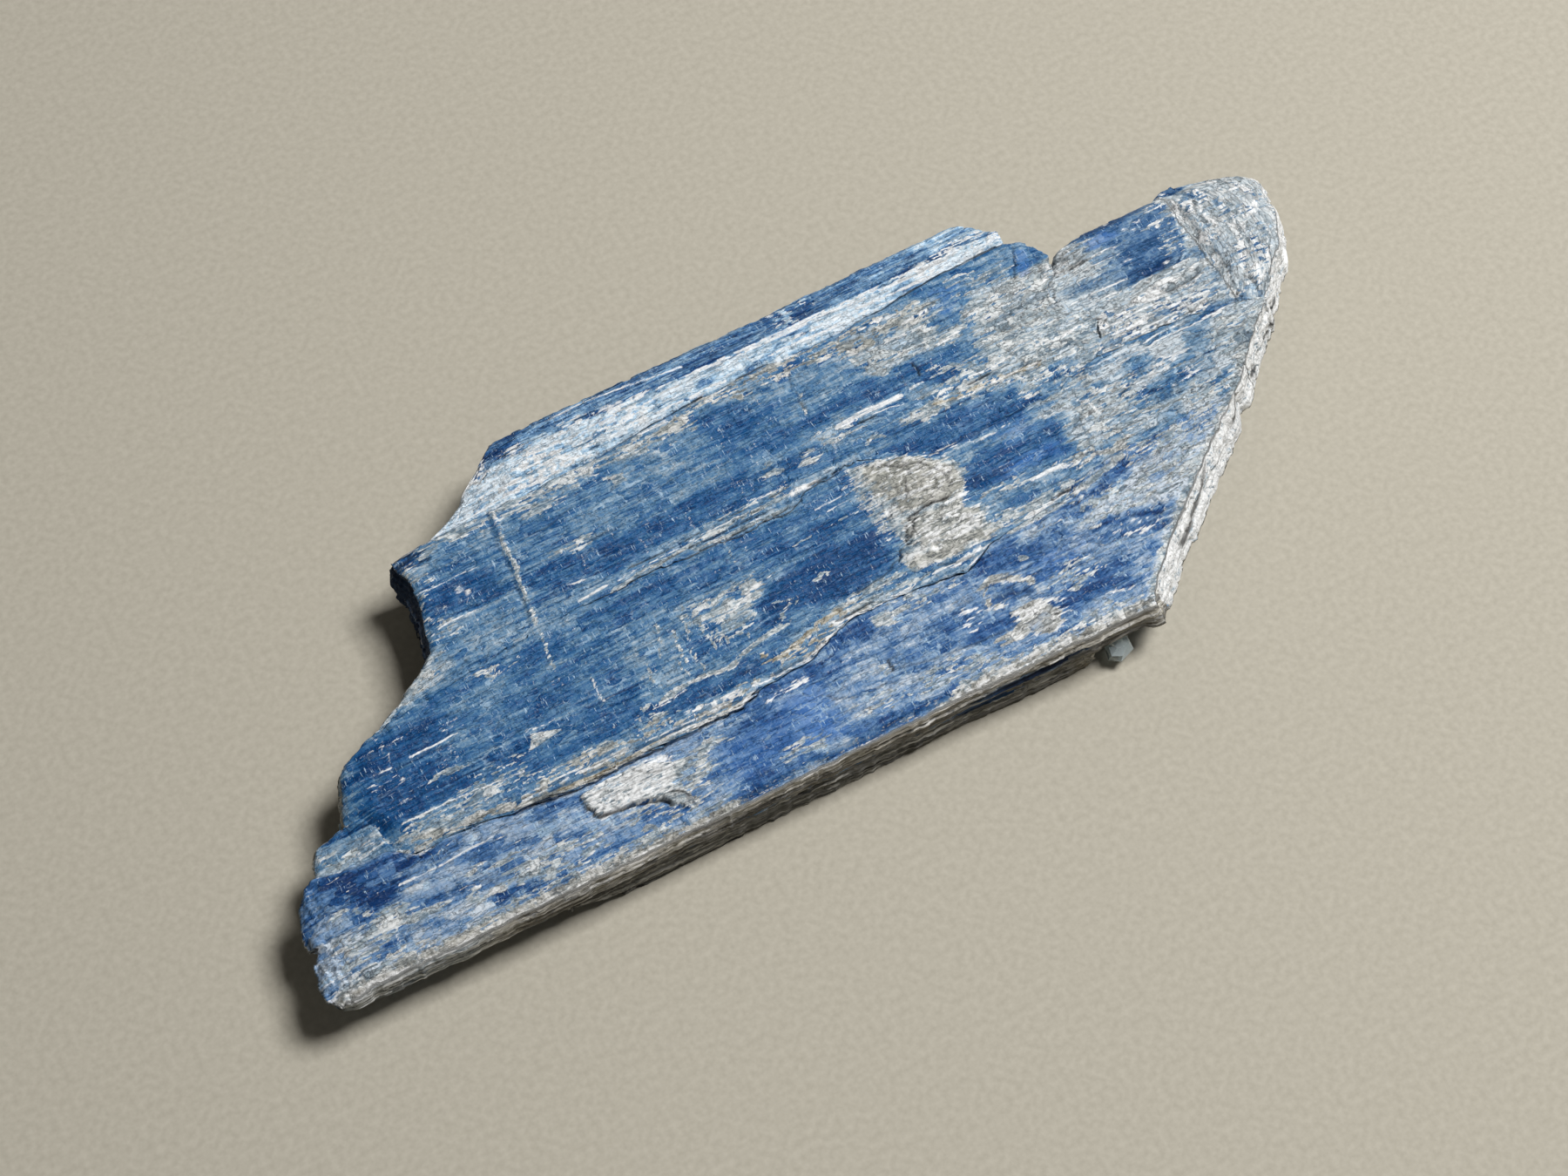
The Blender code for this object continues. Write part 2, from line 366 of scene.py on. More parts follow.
def tones(*rows: Row, **more: float) -> tuple[Patch, ...]:
    """Blocks of a depth of blue, with soft edges. A row is the depth, x0, x1, y0 and y1.

    Args:
        rows: the blocks.
        more: settings that all of them share.

    Returns:
        The blocks as marks.
    """
    return tuple(
        blocks(T, row, **{"soft": softness(row, 0.6, 0.35, 2.6), "jag": 0.75, **more})[0] for row in rows
    )


def clays(*rows: Row, **more: float) -> tuple[Patch, ...]:
    """Blocks of clay. A row is the share of it that is covered, x0, x1, y0 and y1."""
    return tuple(covers(C, row, **{"soft": softness(row, 0.5, 0.3, 2.5), **more}) for row in rows)


def flakes_and_highlights(*rows: Row, **more: float) -> tuple[Patch, ...]:
    """Blocks of white flakes; some of them are painted highlights, painted glints and painted sheen. A row
    is the share of it that is covered, x0, x1, y0 and y1.
    """
    return tuple(covers(F, row, **more) for row in rows)


def lines(kind: Kind, *rows: Row, value: float = 1.0, **more: float) -> tuple[Streak, ...]:
    """Streaks of any kind. A row is the width, and then X and Y of each point."""
    return tuple(Streak(kind, value, pairs(row[1:]), width=row[0], **more) for row in rows)


def areas(kind: Kind, *rows: Row, **more: float) -> tuple[Area, ...]:
    """Filled outlines of any kind. A row is the value, and then X and Y of each corner."""
    return tuple(Area(kind, row[0], pairs(row[1:]), **more) for row in rows)


def runs(kind: Kind, width: float, fall: float, *rows: Row, **more: float) -> tuple[Streak, ...]:
    """Streaks along the blade that end this much lower in Y. A row is x0, x1 and y."""
    return lines(kind, *((width, x0, y, x1, y - fall) for x0, x1, y in rows), **more)


def bars(kind: Kind, width: float, lean: float, *rows: Row, **more: float) -> tuple[Streak, ...]:
    """Streaks across the blade that end this much further in X. A row is x, y0 and y1."""
    return lines(kind, *((width, x, y0, x + lean, y1) for x, y0, y1 in rows), **more)


@dataclass(frozen=True)
class Edge:
    """A blade's edge through given points, made ragged with splinters.

    The points hold place, offset, place, offset and so on: for a front or rear edge the place is X
    and the offset Y, for a left or right end the other way round. Neighbours share the same Edge.
    Where they have grown together its parting is 0, and both tops run to the same height and depth
    of blue. The parting holds place, share, place, share and so on.
    """

    points: Row
    seed: int
    jag: float = 0.12
    parting: Row = (0.0, 1.0)
    height: float = 4.7
    depth: float = 0.5

    def gap(self, place: Array) -> Array:
        """How open the edge is, from 0, grown together, to 1, parted."""
        return np.interp(place, self.parting[::2], self.parting[1::2])

    def at(self, place: Array, ragged: bool = True) -> Array:
        """Read the edge: straight between its points, plus smooth and stepped noise.

        Args:
            place: millimetres along the edge.
            ragged: whether to add the noise.

        Returns:
            The edge's offset in millimetres.
        """
        smooth = np.interp(place, self.points[::2], self.points[1::2])
        if not ragged:
            return smooth
        waves = (1.0, Grain(self.seed, 1.6, 1.0)), (0.6, Grain(self.seed + 1, 0.45, 1.0))
        steps = (0.8, Laths(self.seed + 2, 0.5, 1.0))
        return smooth + self.jag * 2 * swing_at(place, np.zeros_like(place), *waves, steps)


MARGIN = (1.6, 0.8)  # how far a pull can carry a mark's edge, in X and in Y


@dataclass
class Fields:
    """What the material reads at each point: one array for each kind of mark."""

    values: dict[Kind, Array]

    @classmethod
    def plain(cls, count: int, depth: float) -> "Fields":
        """All kinds at 0 but the tone, which is the blade's own depth of blue.

        Args:
            count: how many points there are.
            depth: their depth of blue.

        Returns:
            The fields.
        """
        values = {kind: np.zeros(count) for kind in Kind}
        values[T] += depth
        return cls(values)

    def add(self, marks: tuple[Mark, ...], place: Place) -> None:
        """Apply marks in order. A tone is mixed in, a lift is added, and of the others the stronger
        stays.

        Args:
            marks: the marks.
            place: the points, in the same order as the arrays.
        """
        for mark in marks:
            x0, x1, y0, y1 = mark.reach()
            near = (place.x > x0 - MARGIN[0]) & (place.x < x1 + MARGIN[0])
            near &= (place.y > y0 - MARGIN[1]) & (place.y < y1 + MARGIN[1])
            chosen = np.flatnonzero(near)
            if chosen.size == 0:
                continue
            strength = mark.strength(place.part(chosen))
            old = self.values[mark.kind][chosen]
            if mark.kind is T:
                new = old + (mark.value - old) * strength
            elif mark.kind is L:
                new = old + mark.value * strength
            else:
                new = np.maximum(old, mark.value * strength)
            self.values[mark.kind][chosen] = new

    def at_least(self, kind: Kind, amount: Array) -> None:
        """Raise a kind to this amount wherever it is less."""
        self.values[kind] = np.maximum(self.values[kind], amount)


@dataclass
class Rim:
    """The loop of points round a blade's top, anticlockwise from the low left corner."""

    x: Array
    y: Array
    z: Array
    side: Array

    def __post_init__(self) -> None:
        """Work out the way along the loop and the smoothed normals that point out of it."""
        back, ahead = 3, -3
        dx = np.roll(self.x, ahead) - np.roll(self.x, back)
        dy = np.roll(self.y, ahead) - np.roll(self.y, back)
        nx, ny = smooth_loop(dy, 9), smooth_loop(-dx, 9)
        size = np.maximum(np.hypot(nx, ny), 1e-9)
        self.nx, self.ny = nx / size, ny / size
        gone = np.hypot(np.diff(self.x, append=self.x[0]), np.diff(self.y, append=self.y[0]))
        self.way = np.cumsum(gone) - gone


def smooth_loop(values: Array, window: int) -> Array:
    """Running mean over a closed loop.

    Args:
        values: one value for each point of the loop.
        window: how many points the mean is taken over.

    Returns:
        The smoothed values.
    """
    total = np.zeros_like(values)
    for shift in range(-(window // 2), window // 2 + 1):
        total += np.roll(values, shift)
    return total / window


def smooth_rows(values: Array, reach: int) -> Array:
    """Running mean down the columns of a grid, over this many rows to each side.

    Args:
        values: the grid.
        reach: how many rows each mean takes to either side.

    Returns:
        The smoothed grid.
    """
    padded = np.pad(values, ((reach, reach), (0, 0)), mode="edge")
    rows = len(values)
    return sum(padded[shift : shift + rows] for shift in range(2 * reach + 1)) / (2 * reach + 1)


FRONT, RIGHT, REAR, LEFT = range(4)
GUESSES = 40  # how often the ends of a top's rows are guessed anew


@dataclass
class Blade:
    """One cleaved blade: a top between two edges and two ends, laminated walls and an underside.

    Its sizes are in blade millimetres. flare says how far the foot of each wall stands out from the
    top's edge, in the order front, right, rear, left.
    """

    name: str = ""
    slot: str = ""
    front: Edge = Edge((0.0, 0.0), 1)
    rear: Edge = Edge((0.0, 1.0), 1)
    left: Edge = Edge((0.0, 0.0), 1)
    right: Edge = Edge((0.0, 1.0), 1)
    top: float = 4.5
    floor: float = 2.35
    depth: float = 0.6
    relief: float = 1.0
    bed: float = 1.0
    flare: Row = (0.0, 0.0, 0.0, 0.0)
    bulge: float = 0.0
    marks: tuple[Mark, ...] = ()
    cell_along: float = 0.12
    cell_across: float = 0.055
    cell_down: float = 0.12
    lamina: float = 0.2

    def outline(self) -> tuple[Array, Array]:
        """Lay the grid of the top. Row t runs the share t of the way from the front edge to the
        rear edge, and its ends lie where it meets the left and the right end. They are found by
        going halfway to the end that the last guess gives, GUESSES times.

        Returns:
            X and Y as arrays of rows by columns.
        """
        middle = np.array([(min(self.left.points[1::2]) + max(self.right.points[1::2])) / 2])
        width = (self.rear.at(middle, False) - self.front.at(middle, False))[0]
        rows = max(int(width / self.cell_across), 8)
        t = np.linspace(0.0, 1.0, rows)
        ends = []
        for end in (self.left, self.right):
            x = np.full(rows, middle[0])
            for _ in range(GUESSES):
                y = self.between(x, t, False)
                x = 0.5 * x + 0.5 * end.at(y, False)
            ends.append(end.at(self.between(x, t, False)))
        span = float(np.max(ends[1] - ends[0]))
        s = np.linspace(0.0, 1.0, max(int(span / self.cell_along), 8))
        x = ends[0][:, None] + (ends[1] - ends[0])[:, None] * s[None, :]
        return x, self.between(x, t[:, None])

    def between(self, x: Array, t: Array, ragged: bool = True) -> Array:
        """Y at the share t of the way from the front edge to the rear edge."""
        front = self.front.at(x, ragged)
        return front + t * (self.rear.at(x, ragged) - front)

    def level(self, x: Array, y: Array) -> Array:
        """Height of the blade's top before its relief; a flat cleavage face unless overridden."""
        return np.full(x.shape, self.top)

    def flow(self, x: Array, y: Array) -> tuple[Array, Array]:
        """Millimetres along and across the grain; straight unless overridden."""
        return x, y

    def steps(self, x: Array, y: Array) -> Array:
        """Relief of the cleaved top in millimetres: broad, middle and narrow laths and fine lines.

        Args:
            x: millimetres along the blades.
            y: millimetres across the blades.

        Returns:
            Heights in millimetres.
        """
        along, across = self.flow(x, y)
        height = swing_at(
            along,
            across,
            (0.065, Laths(41, 9.0 * self.bed, 0.8)),
            (0.055, Laths(43, 13.0 * self.bed, 0.36)),
            (0.050, Laths(46, 2.4 * self.bed, 0.27)),
            (0.022, Laths(51, 0.8, 0.12)),
            (0.018, Grain(56, 3.0, 0.09)),
        )
        return (height + swing_at(across, along, (0.030, Laths(48, 0.8, 0.5)))) * self.relief

    def streaking(self, x: Array, y: Array) -> Array:
        """Change of tone along the grain: laths of three sizes and smooth lines.

        Args:
            x: millimetres along the blades.
            y: millimetres across the blades.

        Returns:
            Changes of the depth of blue.
        """
        along, across = self.flow(x, y)
        change = swing_at(
            along,
            across,
            (0.14, Laths(61, 4.0 * self.bed, 0.55)),
            (0.15, Laths(63, 11.0 * self.bed, 0.30)),
            (0.16, Laths(66, 1.3 * self.bed, 0.22)),
            (0.10, Grain(71, 5.0 * self.bed, 0.14)),
            (0.22, Grain(74, 1.7, 1.0)),
            (0.12, Grain(77, 0.5, 0.35)),
        )
        return change + swing_at(across, along, (0.14, Laths(68, 0.9, 0.4)))

    def feathers(self, x: Array, y: Array) -> Array:
        """Thin pale hair cracks across the grain, in groups.

        Args:
            x: millimetres along the blades.
            y: millimetres across the blades.

        Returns:
            Values from 0 to 1.
        """
        along, across = self.flow(x, y)
        hair = rise(0.90, 0.97, Laths(64, 1.1, 0.1).at(across, along))
        hair *= rise(0.48, 0.62, Grain(69, 2.6, 1.6).at(along, across))
        return hair * rise(0.3, 0.6, Grain(70, 0.3, 0.4).at(along, across))

    def make_top(self) -> tuple[Array, Fields, tuple[int, int]]:
        """Height and colour of the top.

        Returns:
            Points as rows of X, Y and Z, their fields, and the grid's rows and columns.
        """
        x, y = self.outline()
        shape = x.shape
        steps = self.steps(x, y)
        crest = steps - smooth_rows(steps, 2)
        along, across = self.flow(x, y)
        bend = 0.5 * (Grain(78, 2.2, 1.5).at(along, across) - 0.5)
        pane = Laths(79, 2.6, 0.8).at(along, across + bend)
        cover = Laths(82, 3.2, 0.55).at(along, across + bend)
        seam = np.abs(cover - smooth_rows(cover, 1)) + 0.5 * np.abs(pane - smooth_rows(pane, 1))
        away = (y - y[:1], x[:, -1:] - x, y[-1:] - y, x - x[:, :1])
        x, y, steps, crest, pane, cover, seam = (
            a.reshape(-1) for a in (x, y, steps, crest, pane, cover, seam)
        )
        away = [a.reshape(-1) for a in away]
        place = Place(x, y)
        fields = Fields.plain(x.size, self.depth)
        values = fields.values
        z = self.level(x, y)
        worn = np.zeros(x.size)
        sides = (
            (self.front, x, 0.12 + 0.5 * self.bulge),
            (self.right, y, 0.2),
            (self.rear, x, 0.12),
            (self.left, y, 0.2),
        )
        for gone, (edge, along, width) in zip(away, sides):
            gap = edge.gap(along)
            joined = (1 - gap) * np.exp(-((gone / 1.1) ** 2))
            z += (edge.height - z) * joined
            values[T] += (edge.depth - self.depth) * joined
            z -= 0.9 * width * gap * np.exp(-((gone / width) ** 2))
            worn = np.maximum(worn, gap * np.exp(-gone / 0.12))
        fields.add(self.marks, place)
        craze = values[Z]
        calm = 1.3 - 0.8 * np.clip(values[T], 0.0, 1.0)
        calm = calm * (1 - 0.5 * np.maximum(craze, values[V]))
        values[T] += calm * (self.streaking(x, y) - 1.1 * steps) + 0.75 * craze * (pane - 0.5)
        values[C] += craze * (1.1 * (cover - 0.5) * rise(0.1, 0.3, values[C]))
        values[C] = np.clip(values[C], 0.0, 1.0)
        seam = craze * rise(0.1, 0.25, seam) * rise(0.3, 0.6, place.torn)
        # Painted highlight and painted shade on small ledges: their tops get paler blue and white flakes,
        # partly wear and partly painted highlight, and the creases below them get deeper blue and dark,
        # partly dirt and partly painted shade.
        ledge_wear_and_highlight, crevice_dirt_and_shade = rise(0.006, 0.03, crest), rise(0.006, 0.03, -crest)
        values[T] += 0.22 * crevice_dirt_and_shade - 0.12 * ledge_wear_and_highlight
        fields.at_least(C, 0.9 * seam)
        fields.at_least(W, 0.7 * seam)
        fields.at_least(F, 0.45 * ledge_wear_and_highlight * rise(0.45, 0.8, place.torn))
        fields.at_least(F, 0.6 * self.feathers(x, y))
        fields.at_least(F, 0.7 * worn * rise(0.2, 0.7, place.torn))
        fields.at_least(G, 0.5 * crevice_dirt_and_shade * rise(0.4, 0.8, 1 - place.torn))
        z += steps + values[L]
        lumps = Grain(97, 0.8, 0.5).at(x, y) + 0.6 * Grain(98, 0.3, 0.2).at(x, y)
        z += values[C] * (0.05 * (place.torn - 0.4) + 0.10 * (lumps - 0.6))
        z -= 0.1 * values[G]
        self.dress_top(x, y, fields, place)
        return np.column_stack([x, y, z]), fields, shape

    def dress_top(self, x: Array, y: Array, fields: Fields, place: Place) -> None:
        """Last changes to the top's fields; a blade that has any overrides this."""

    def dress_wall(self, rim: Rim, x: Array, y: Array, z: Array, fields: Fields) -> None:
        """Last changes to the wall's fields; a blade that has any overrides this."""

    def foot(self, rim: Rim) -> Array:
        """Height of the wall's foot at each point of the rim; level unless overridden."""
        return np.full(rim.x.size, self.floor)

    def make_wall(self, rim: Rim) -> tuple[Array, Fields, int]:
        """Walls below the rim: rows of points that step in and out with the laminae, and stand out
        towards the foot by the side's flare.

        Args:
            rim: the loop round the top.

        Returns:
            Points as rows of X, Y and Z, their fields, and the number of rows.
        """
        foot = self.foot(rim)
        rows = max(int(np.max(rim.z - foot) / self.cell_down), 3)
        share = (np.arange(1, rows + 1) / rows)[:, None]
        z = rim.z[None, :] + (foot - rim.z)[None, :] * share
        run = np.where(rim.side % 2, 5.0, 1.0) * rim.way
        way = np.broadcast_to(run[None, :], z.shape)
        leaves = Laths(81, 9.0, self.lamina).at(way, z)
        thin = Laths(86, 5.0, 0.45 * self.lamina).at(way, z)
        fine = Grain(91, 1.2, 0.12).at(way, z)
        flare = smooth_loop(np.array(self.flare)[rim.side], 15)[None, :]
        inner = rise(0.0, 0.15, share)
        out = flare * share**0.8
        slab = (Laths(83, 12.0, 3.0 * self.lamina).at(way, z) - 0.5) * (rim.side % 2)
        rough = 0.16 * (leaves - 0.75) + 0.10 * (thin - 0.6) + 0.05 * (fine - 0.5) + 0.3 * slab
        rough *= 1 - 0.35 * rise(0.3, 0.8, flare)
        out = out + inner * rough
        turn = np.clip(share / 0.3, 0.0, 1.0)
        out += self.bulge * smooth_loop((rim.side == FRONT) * 1.0, 9) * np.sqrt(turn * (2 - turn))
        x, y = rim.x + rim.nx * out, rim.y + rim.ny * out
        fields = Fields.plain(z.size, 0.42)
        values = fields.values
        leaves, thin, fine = leaves.reshape(-1), thin.reshape(-1), fine.reshape(-1)
        values[T] += 0.5 * (leaves - 0.5) + 0.25 * (fine - 0.5)
        values[C] = rise(0.35, 0.65, 0.6 * leaves + 0.4 * fine)
        values[W] = 0.2 + 0.7 * thin
        values[G] = 0.85 * rise(0.62, 0.85, 1 - thin) * rise(0.3, 0.6, 1 - leaves)
        values[F] = rise(0.72, 0.86, thin) * rise(0.5, 0.7, fine)
        flat_x, flat_y, flat_z = x.reshape(-1), y.reshape(-1), z.reshape(-1)
        self.dress_wall(rim, flat_x, flat_y, flat_z, fields)
        return np.column_stack([flat_x, flat_y, flat_z]), fields, rows

    def build(self) -> bpy.types.Object:
        """Make the blade's closed mesh: its top, its walls, and an underside of rings that shrink
        onto the line along its middle.

        Returns:
            The finished object.
        """
        top, fields, (rows, columns) = self.make_top()
        number = np.arange(rows * columns).reshape(rows, columns)
        loop = np.concatenate(
            [number[0], number[1:, -1], number[-1, -2::-1], number[-2:0:-1, 0]]
        )
        row, column = np.divmod(loop, columns)
        side = np.repeat([FRONT, RIGHT, REAR, LEFT], [columns, rows - 1, columns - 1, rows - 2])
        rim = Rim(top[loop, 0], top[loop, 1], top[loop, 2], side)
        wall, wall_fields, down = self.make_wall(rim)
        last = wall[-loop.size :]
        inset = min(int(1.2 / self.cell_along), columns // 3)
        spine_column = np.clip(column, inset, columns - 1 - inset)
        shares = (0.08, 0.25, 0.5, 0.75, 1.0)
        under = []
        for share in shares:
            to_row = np.round(row + (rows // 2 - row) * share).astype(int)
            to_column = np.round(column + (spine_column - column) * share).astype(int)
            ring = top[number[to_row, to_column]]
            ring[:, :2] += (1 - share) * (last[:, :2] - top[loop, :2])
            ring[:, 2] = last[:, 2] + (last[:, 2].mean() - last[:, 2]) * share
            under.append(ring)
        spine = np.flatnonzero(np.arange(loop.size) < columns)[inset : columns - inset]
        under[-1] = under[-1][spine]
        under = np.concatenate(under)
        grain = Grain(95, 3.0, 0.5).at(under[:, 0], under[:, 1])
        under[:, 2] += 0.12 * grain * rise(self.floor + 0.5, self.floor, under[:, 2])
        under_fields = Fields.plain(len(under), 0.5)
        under_fields.values[C] = rise(0.3, 0.7, grain)
        under_fields.values[W] += 0.5
        points = np.concatenate([top, wall, under])
        ring_count = down + len(shares) - 1
        rings = [loop]
        for start in range(number.size, number.size + ring_count * loop.size, loop.size):
            rings.append(start + np.arange(loop.size))
        spine_start = number.size + ring_count * loop.size
        rings.append(spine_start + spine_column - inset)
        faces = [grid_faces(number)]
        for upper, lower in zip(rings[:-1], rings[1:]):
            faces.append(np.column_stack([upper, lower, np.roll(lower, -1), np.roll(upper, -1)]))
        quads = np.concatenate(faces)
        parts = (fields.values, wall_fields.values, under_fields.values)
        kinds = {kind: np.concatenate([values[kind] for values in parts]) for kind in Kind}
        along, across = self.flow(top[:, 0], top[:, 1])
        run = np.where(rim.side % 2, 1.4, 0.35) * rim.way
        lane = np.column_stack([np.tile(run, down), wall[:, 2] + 40, np.zeros(len(wall))])
        flow = np.concatenate(
            [np.column_stack([along, across, 0 * along]), lane, under * (1, 1, 0) + (0, 60, 0)]
        )
        return make_piece(self.name, self.slot, points, quads, kinds, flow)


def grid_faces(number: Array) -> Array:
    """Quads over a grid of point numbers, anticlockwise when rows go up and columns to the right."""
    corners = number[:-1, :-1], number[:-1, 1:], number[1:, 1:], number[1:, :-1]
    return np.column_stack([corner.reshape(-1) for corner in corners])


def add_object(name: str, data: bpy.types.ID) -> bpy.types.Object:
    """Put data into the scene as an object at the origin.

    Args:
        name: the object's name.
        data: its mesh, lamp or camera.

    Returns:
        The object.
    """
    item = bpy.data.objects.new(name, data)
    bpy.context.scene.collection.objects.link(item)
    return item


def make_piece(
    node: str, slot: str, points: Array, quads: Array, kinds: dict[Kind, Array], flow: Array
) -> bpy.types.Object:
    """Put points and quads into a mesh, with what the material reads on its points, hang it under the root
    body, and hide the part that it replaces. A quad with two equal corners in a row becomes a triangle.

    Args:
        node: the name of the part's node that the object replaces.
        slot: the finish slot that it belongs to; not used.
        points: blade millimetres, one row a point.
        quads: four point numbers a face.
        kinds: one value a point for each kind of mark.
        flow: millimetres along and across the grain, one row a point.

    Returns:
        The object, in the frame's metres.
    """
    keep = quads != np.roll(quads, -1, axis=1)
    lengths = keep.sum(axis=1)
    keep, quads, lengths = keep[lengths > 2], quads[lengths > 2], lengths[lengths > 2]
    corners = quads[keep]
    place = (points - (*FOOTPRINT_MIDDLE, 0.0)) * MM
    mesh = bpy.data.meshes.new(node + "_surface")
    mesh.vertices.add(len(points))
    mesh.vertices.foreach_set("co", place.astype(np.float32).reshape(-1))
    mesh.loops.add(corners.size)
    mesh.loops.foreach_set("vertex_index", corners.astype(np.int32))
    mesh.polygons.add(len(quads))
    starts = np.concatenate([[0], np.cumsum(lengths)[:-1]])
    mesh.polygons.foreach_set("loop_start", starts.astype(np.int32))
    mesh.polygons.foreach_set("use_smooth", np.ones(len(quads), bool))
    for kind, values in kinds.items():
        if kind is not L:
            layer = mesh.attributes.new(kind.value, "FLOAT", "POINT")
            layer.data.foreach_set("value", np.clip(values, 0.0, 1.0).astype(np.float32))
    layer = mesh.attributes.new("flow", "FLOAT_VECTOR", "POINT")
    layer.data.foreach_set("vector", flow.astype(np.float32).reshape(-1))
    mesh.update(calc_edges=True)
    mesh.validate()
    piece = add_object(node + "_surface", mesh)
    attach(piece, "root")
    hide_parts(node)
    return piece


def linear(hex_colour: str) -> tuple[float, float, float, float]:
    """Turn an sRGB hex colour into linear RGBA.

    Args:
        hex_colour: red, green and blue as #RRGGBB.

    Returns:
        Linear red, green and blue, and 1.
    """
    channels = [int(hex_colour[i : i + 2], 16) / 255 for i in (1, 3, 5)]
    low = [c / 12.92 if c <= 0.04045 else ((c + 0.055) / 1.055) ** 2.4 for c in channels]
    return (*low, 1.0)


class Tree:
    """A material's node tree, filled node by node."""

    def __init__(self, name: str) -> None:
        """Make the material with an empty tree.

        Args:
            name: the material's name.
        """
        self.material = bpy.data.materials.new(name)
        self.material.use_nodes = True
        self.nodes = self.material.node_tree.nodes
        self.nodes.clear()

    def add(self, kind: str, *inputs: object, stops: Stops = (), **settings: object) -> "Wire":
        """Add one node with its settings and links.

        Args:
            kind: the node's type name without ShaderNode.
            inputs: what goes into its inputs in use, in order: wires, numbers or sRGB hex colours.
            stops: a colour ramp's places from 0 to 1, each with its sRGB hex colour.
            settings: the node's own settings. A name that starts with a capital is an input, with _
                for a space.

        Returns:
            The node's first output in use.
        """
        node = self.nodes.new("ShaderNode" + kind)
        for name in settings:
            if name[0].islower():
                setattr(node, name, settings[name])
        values = list(zip([socket for socket in node.inputs if socket.enabled], inputs))
        values += [(node.inputs[n.replace("_", " ")], settings[n]) for n in settings if n[0].isupper()]
        for socket, value in values:
            if isinstance(value, Wire):
                self.material.node_tree.links.new(value.socket, socket)
            else:
                socket.default_value = linear(value) if isinstance(value, str) else value
        for index, (place, colour) in enumerate(stops):
            band = node.color_ramp.elements
            element = band[index] if index < len(band) else band.new(place)
            element.position, element.color = place, linear(colour)
        return Wire(self, next((socket for socket in node.outputs if socket.enabled), None))


@dataclass(frozen=True)
class Wire:
    """A node's output. A sum, a difference, a product, or with | the larger of two is a new node."""

    tree: Tree
    socket: bpy.types.NodeSocket | None

    def __getitem__(self, name: str) -> "Wire":
        """Another output of the same node."""
        return Wire(self.tree, self.socket.node.outputs[name])

    def __add__(self, other: "Wire | float") -> "Wire":
        """This value plus the other."""
        return self.tree.add("Math", self, other, operation="ADD")

    def __sub__(self, other: "Wire | float") -> "Wire":
        """This value less the other."""
        return self.tree.add("Math", self, other, operation="SUBTRACT")

    def __mul__(self, other: "Wire | float") -> "Wire":
        """This value times the other."""
        return self.tree.add("Math", self, other, operation="MULTIPLY")

    def __or__(self, other: "Wire | float") -> "Wire":
        """The larger of the two values."""
        return self.tree.add("Math", self, other, operation="MAXIMUM")


SMOOTH = {"interpolation_type": "SMOOTHSTEP"}  # a rise from 0 to 1 that is eased at both ends
COLOURS = {"data_type": "RGBA"}
CELLS = {"distance": "CHEBYCHEV", "Scale": 1.0, "Randomness": 1.0}  # cells with straight sides
DEPTHS = (0.0, 0.15, 0.35, 0.58, 0.75, 0.88, 1.0)


def depths(*colours: str) -> Stops:
    """The blues of a finish, from where the kyanite is palest to where it is deepest."""
    return tuple(zip(DEPTHS, colours))


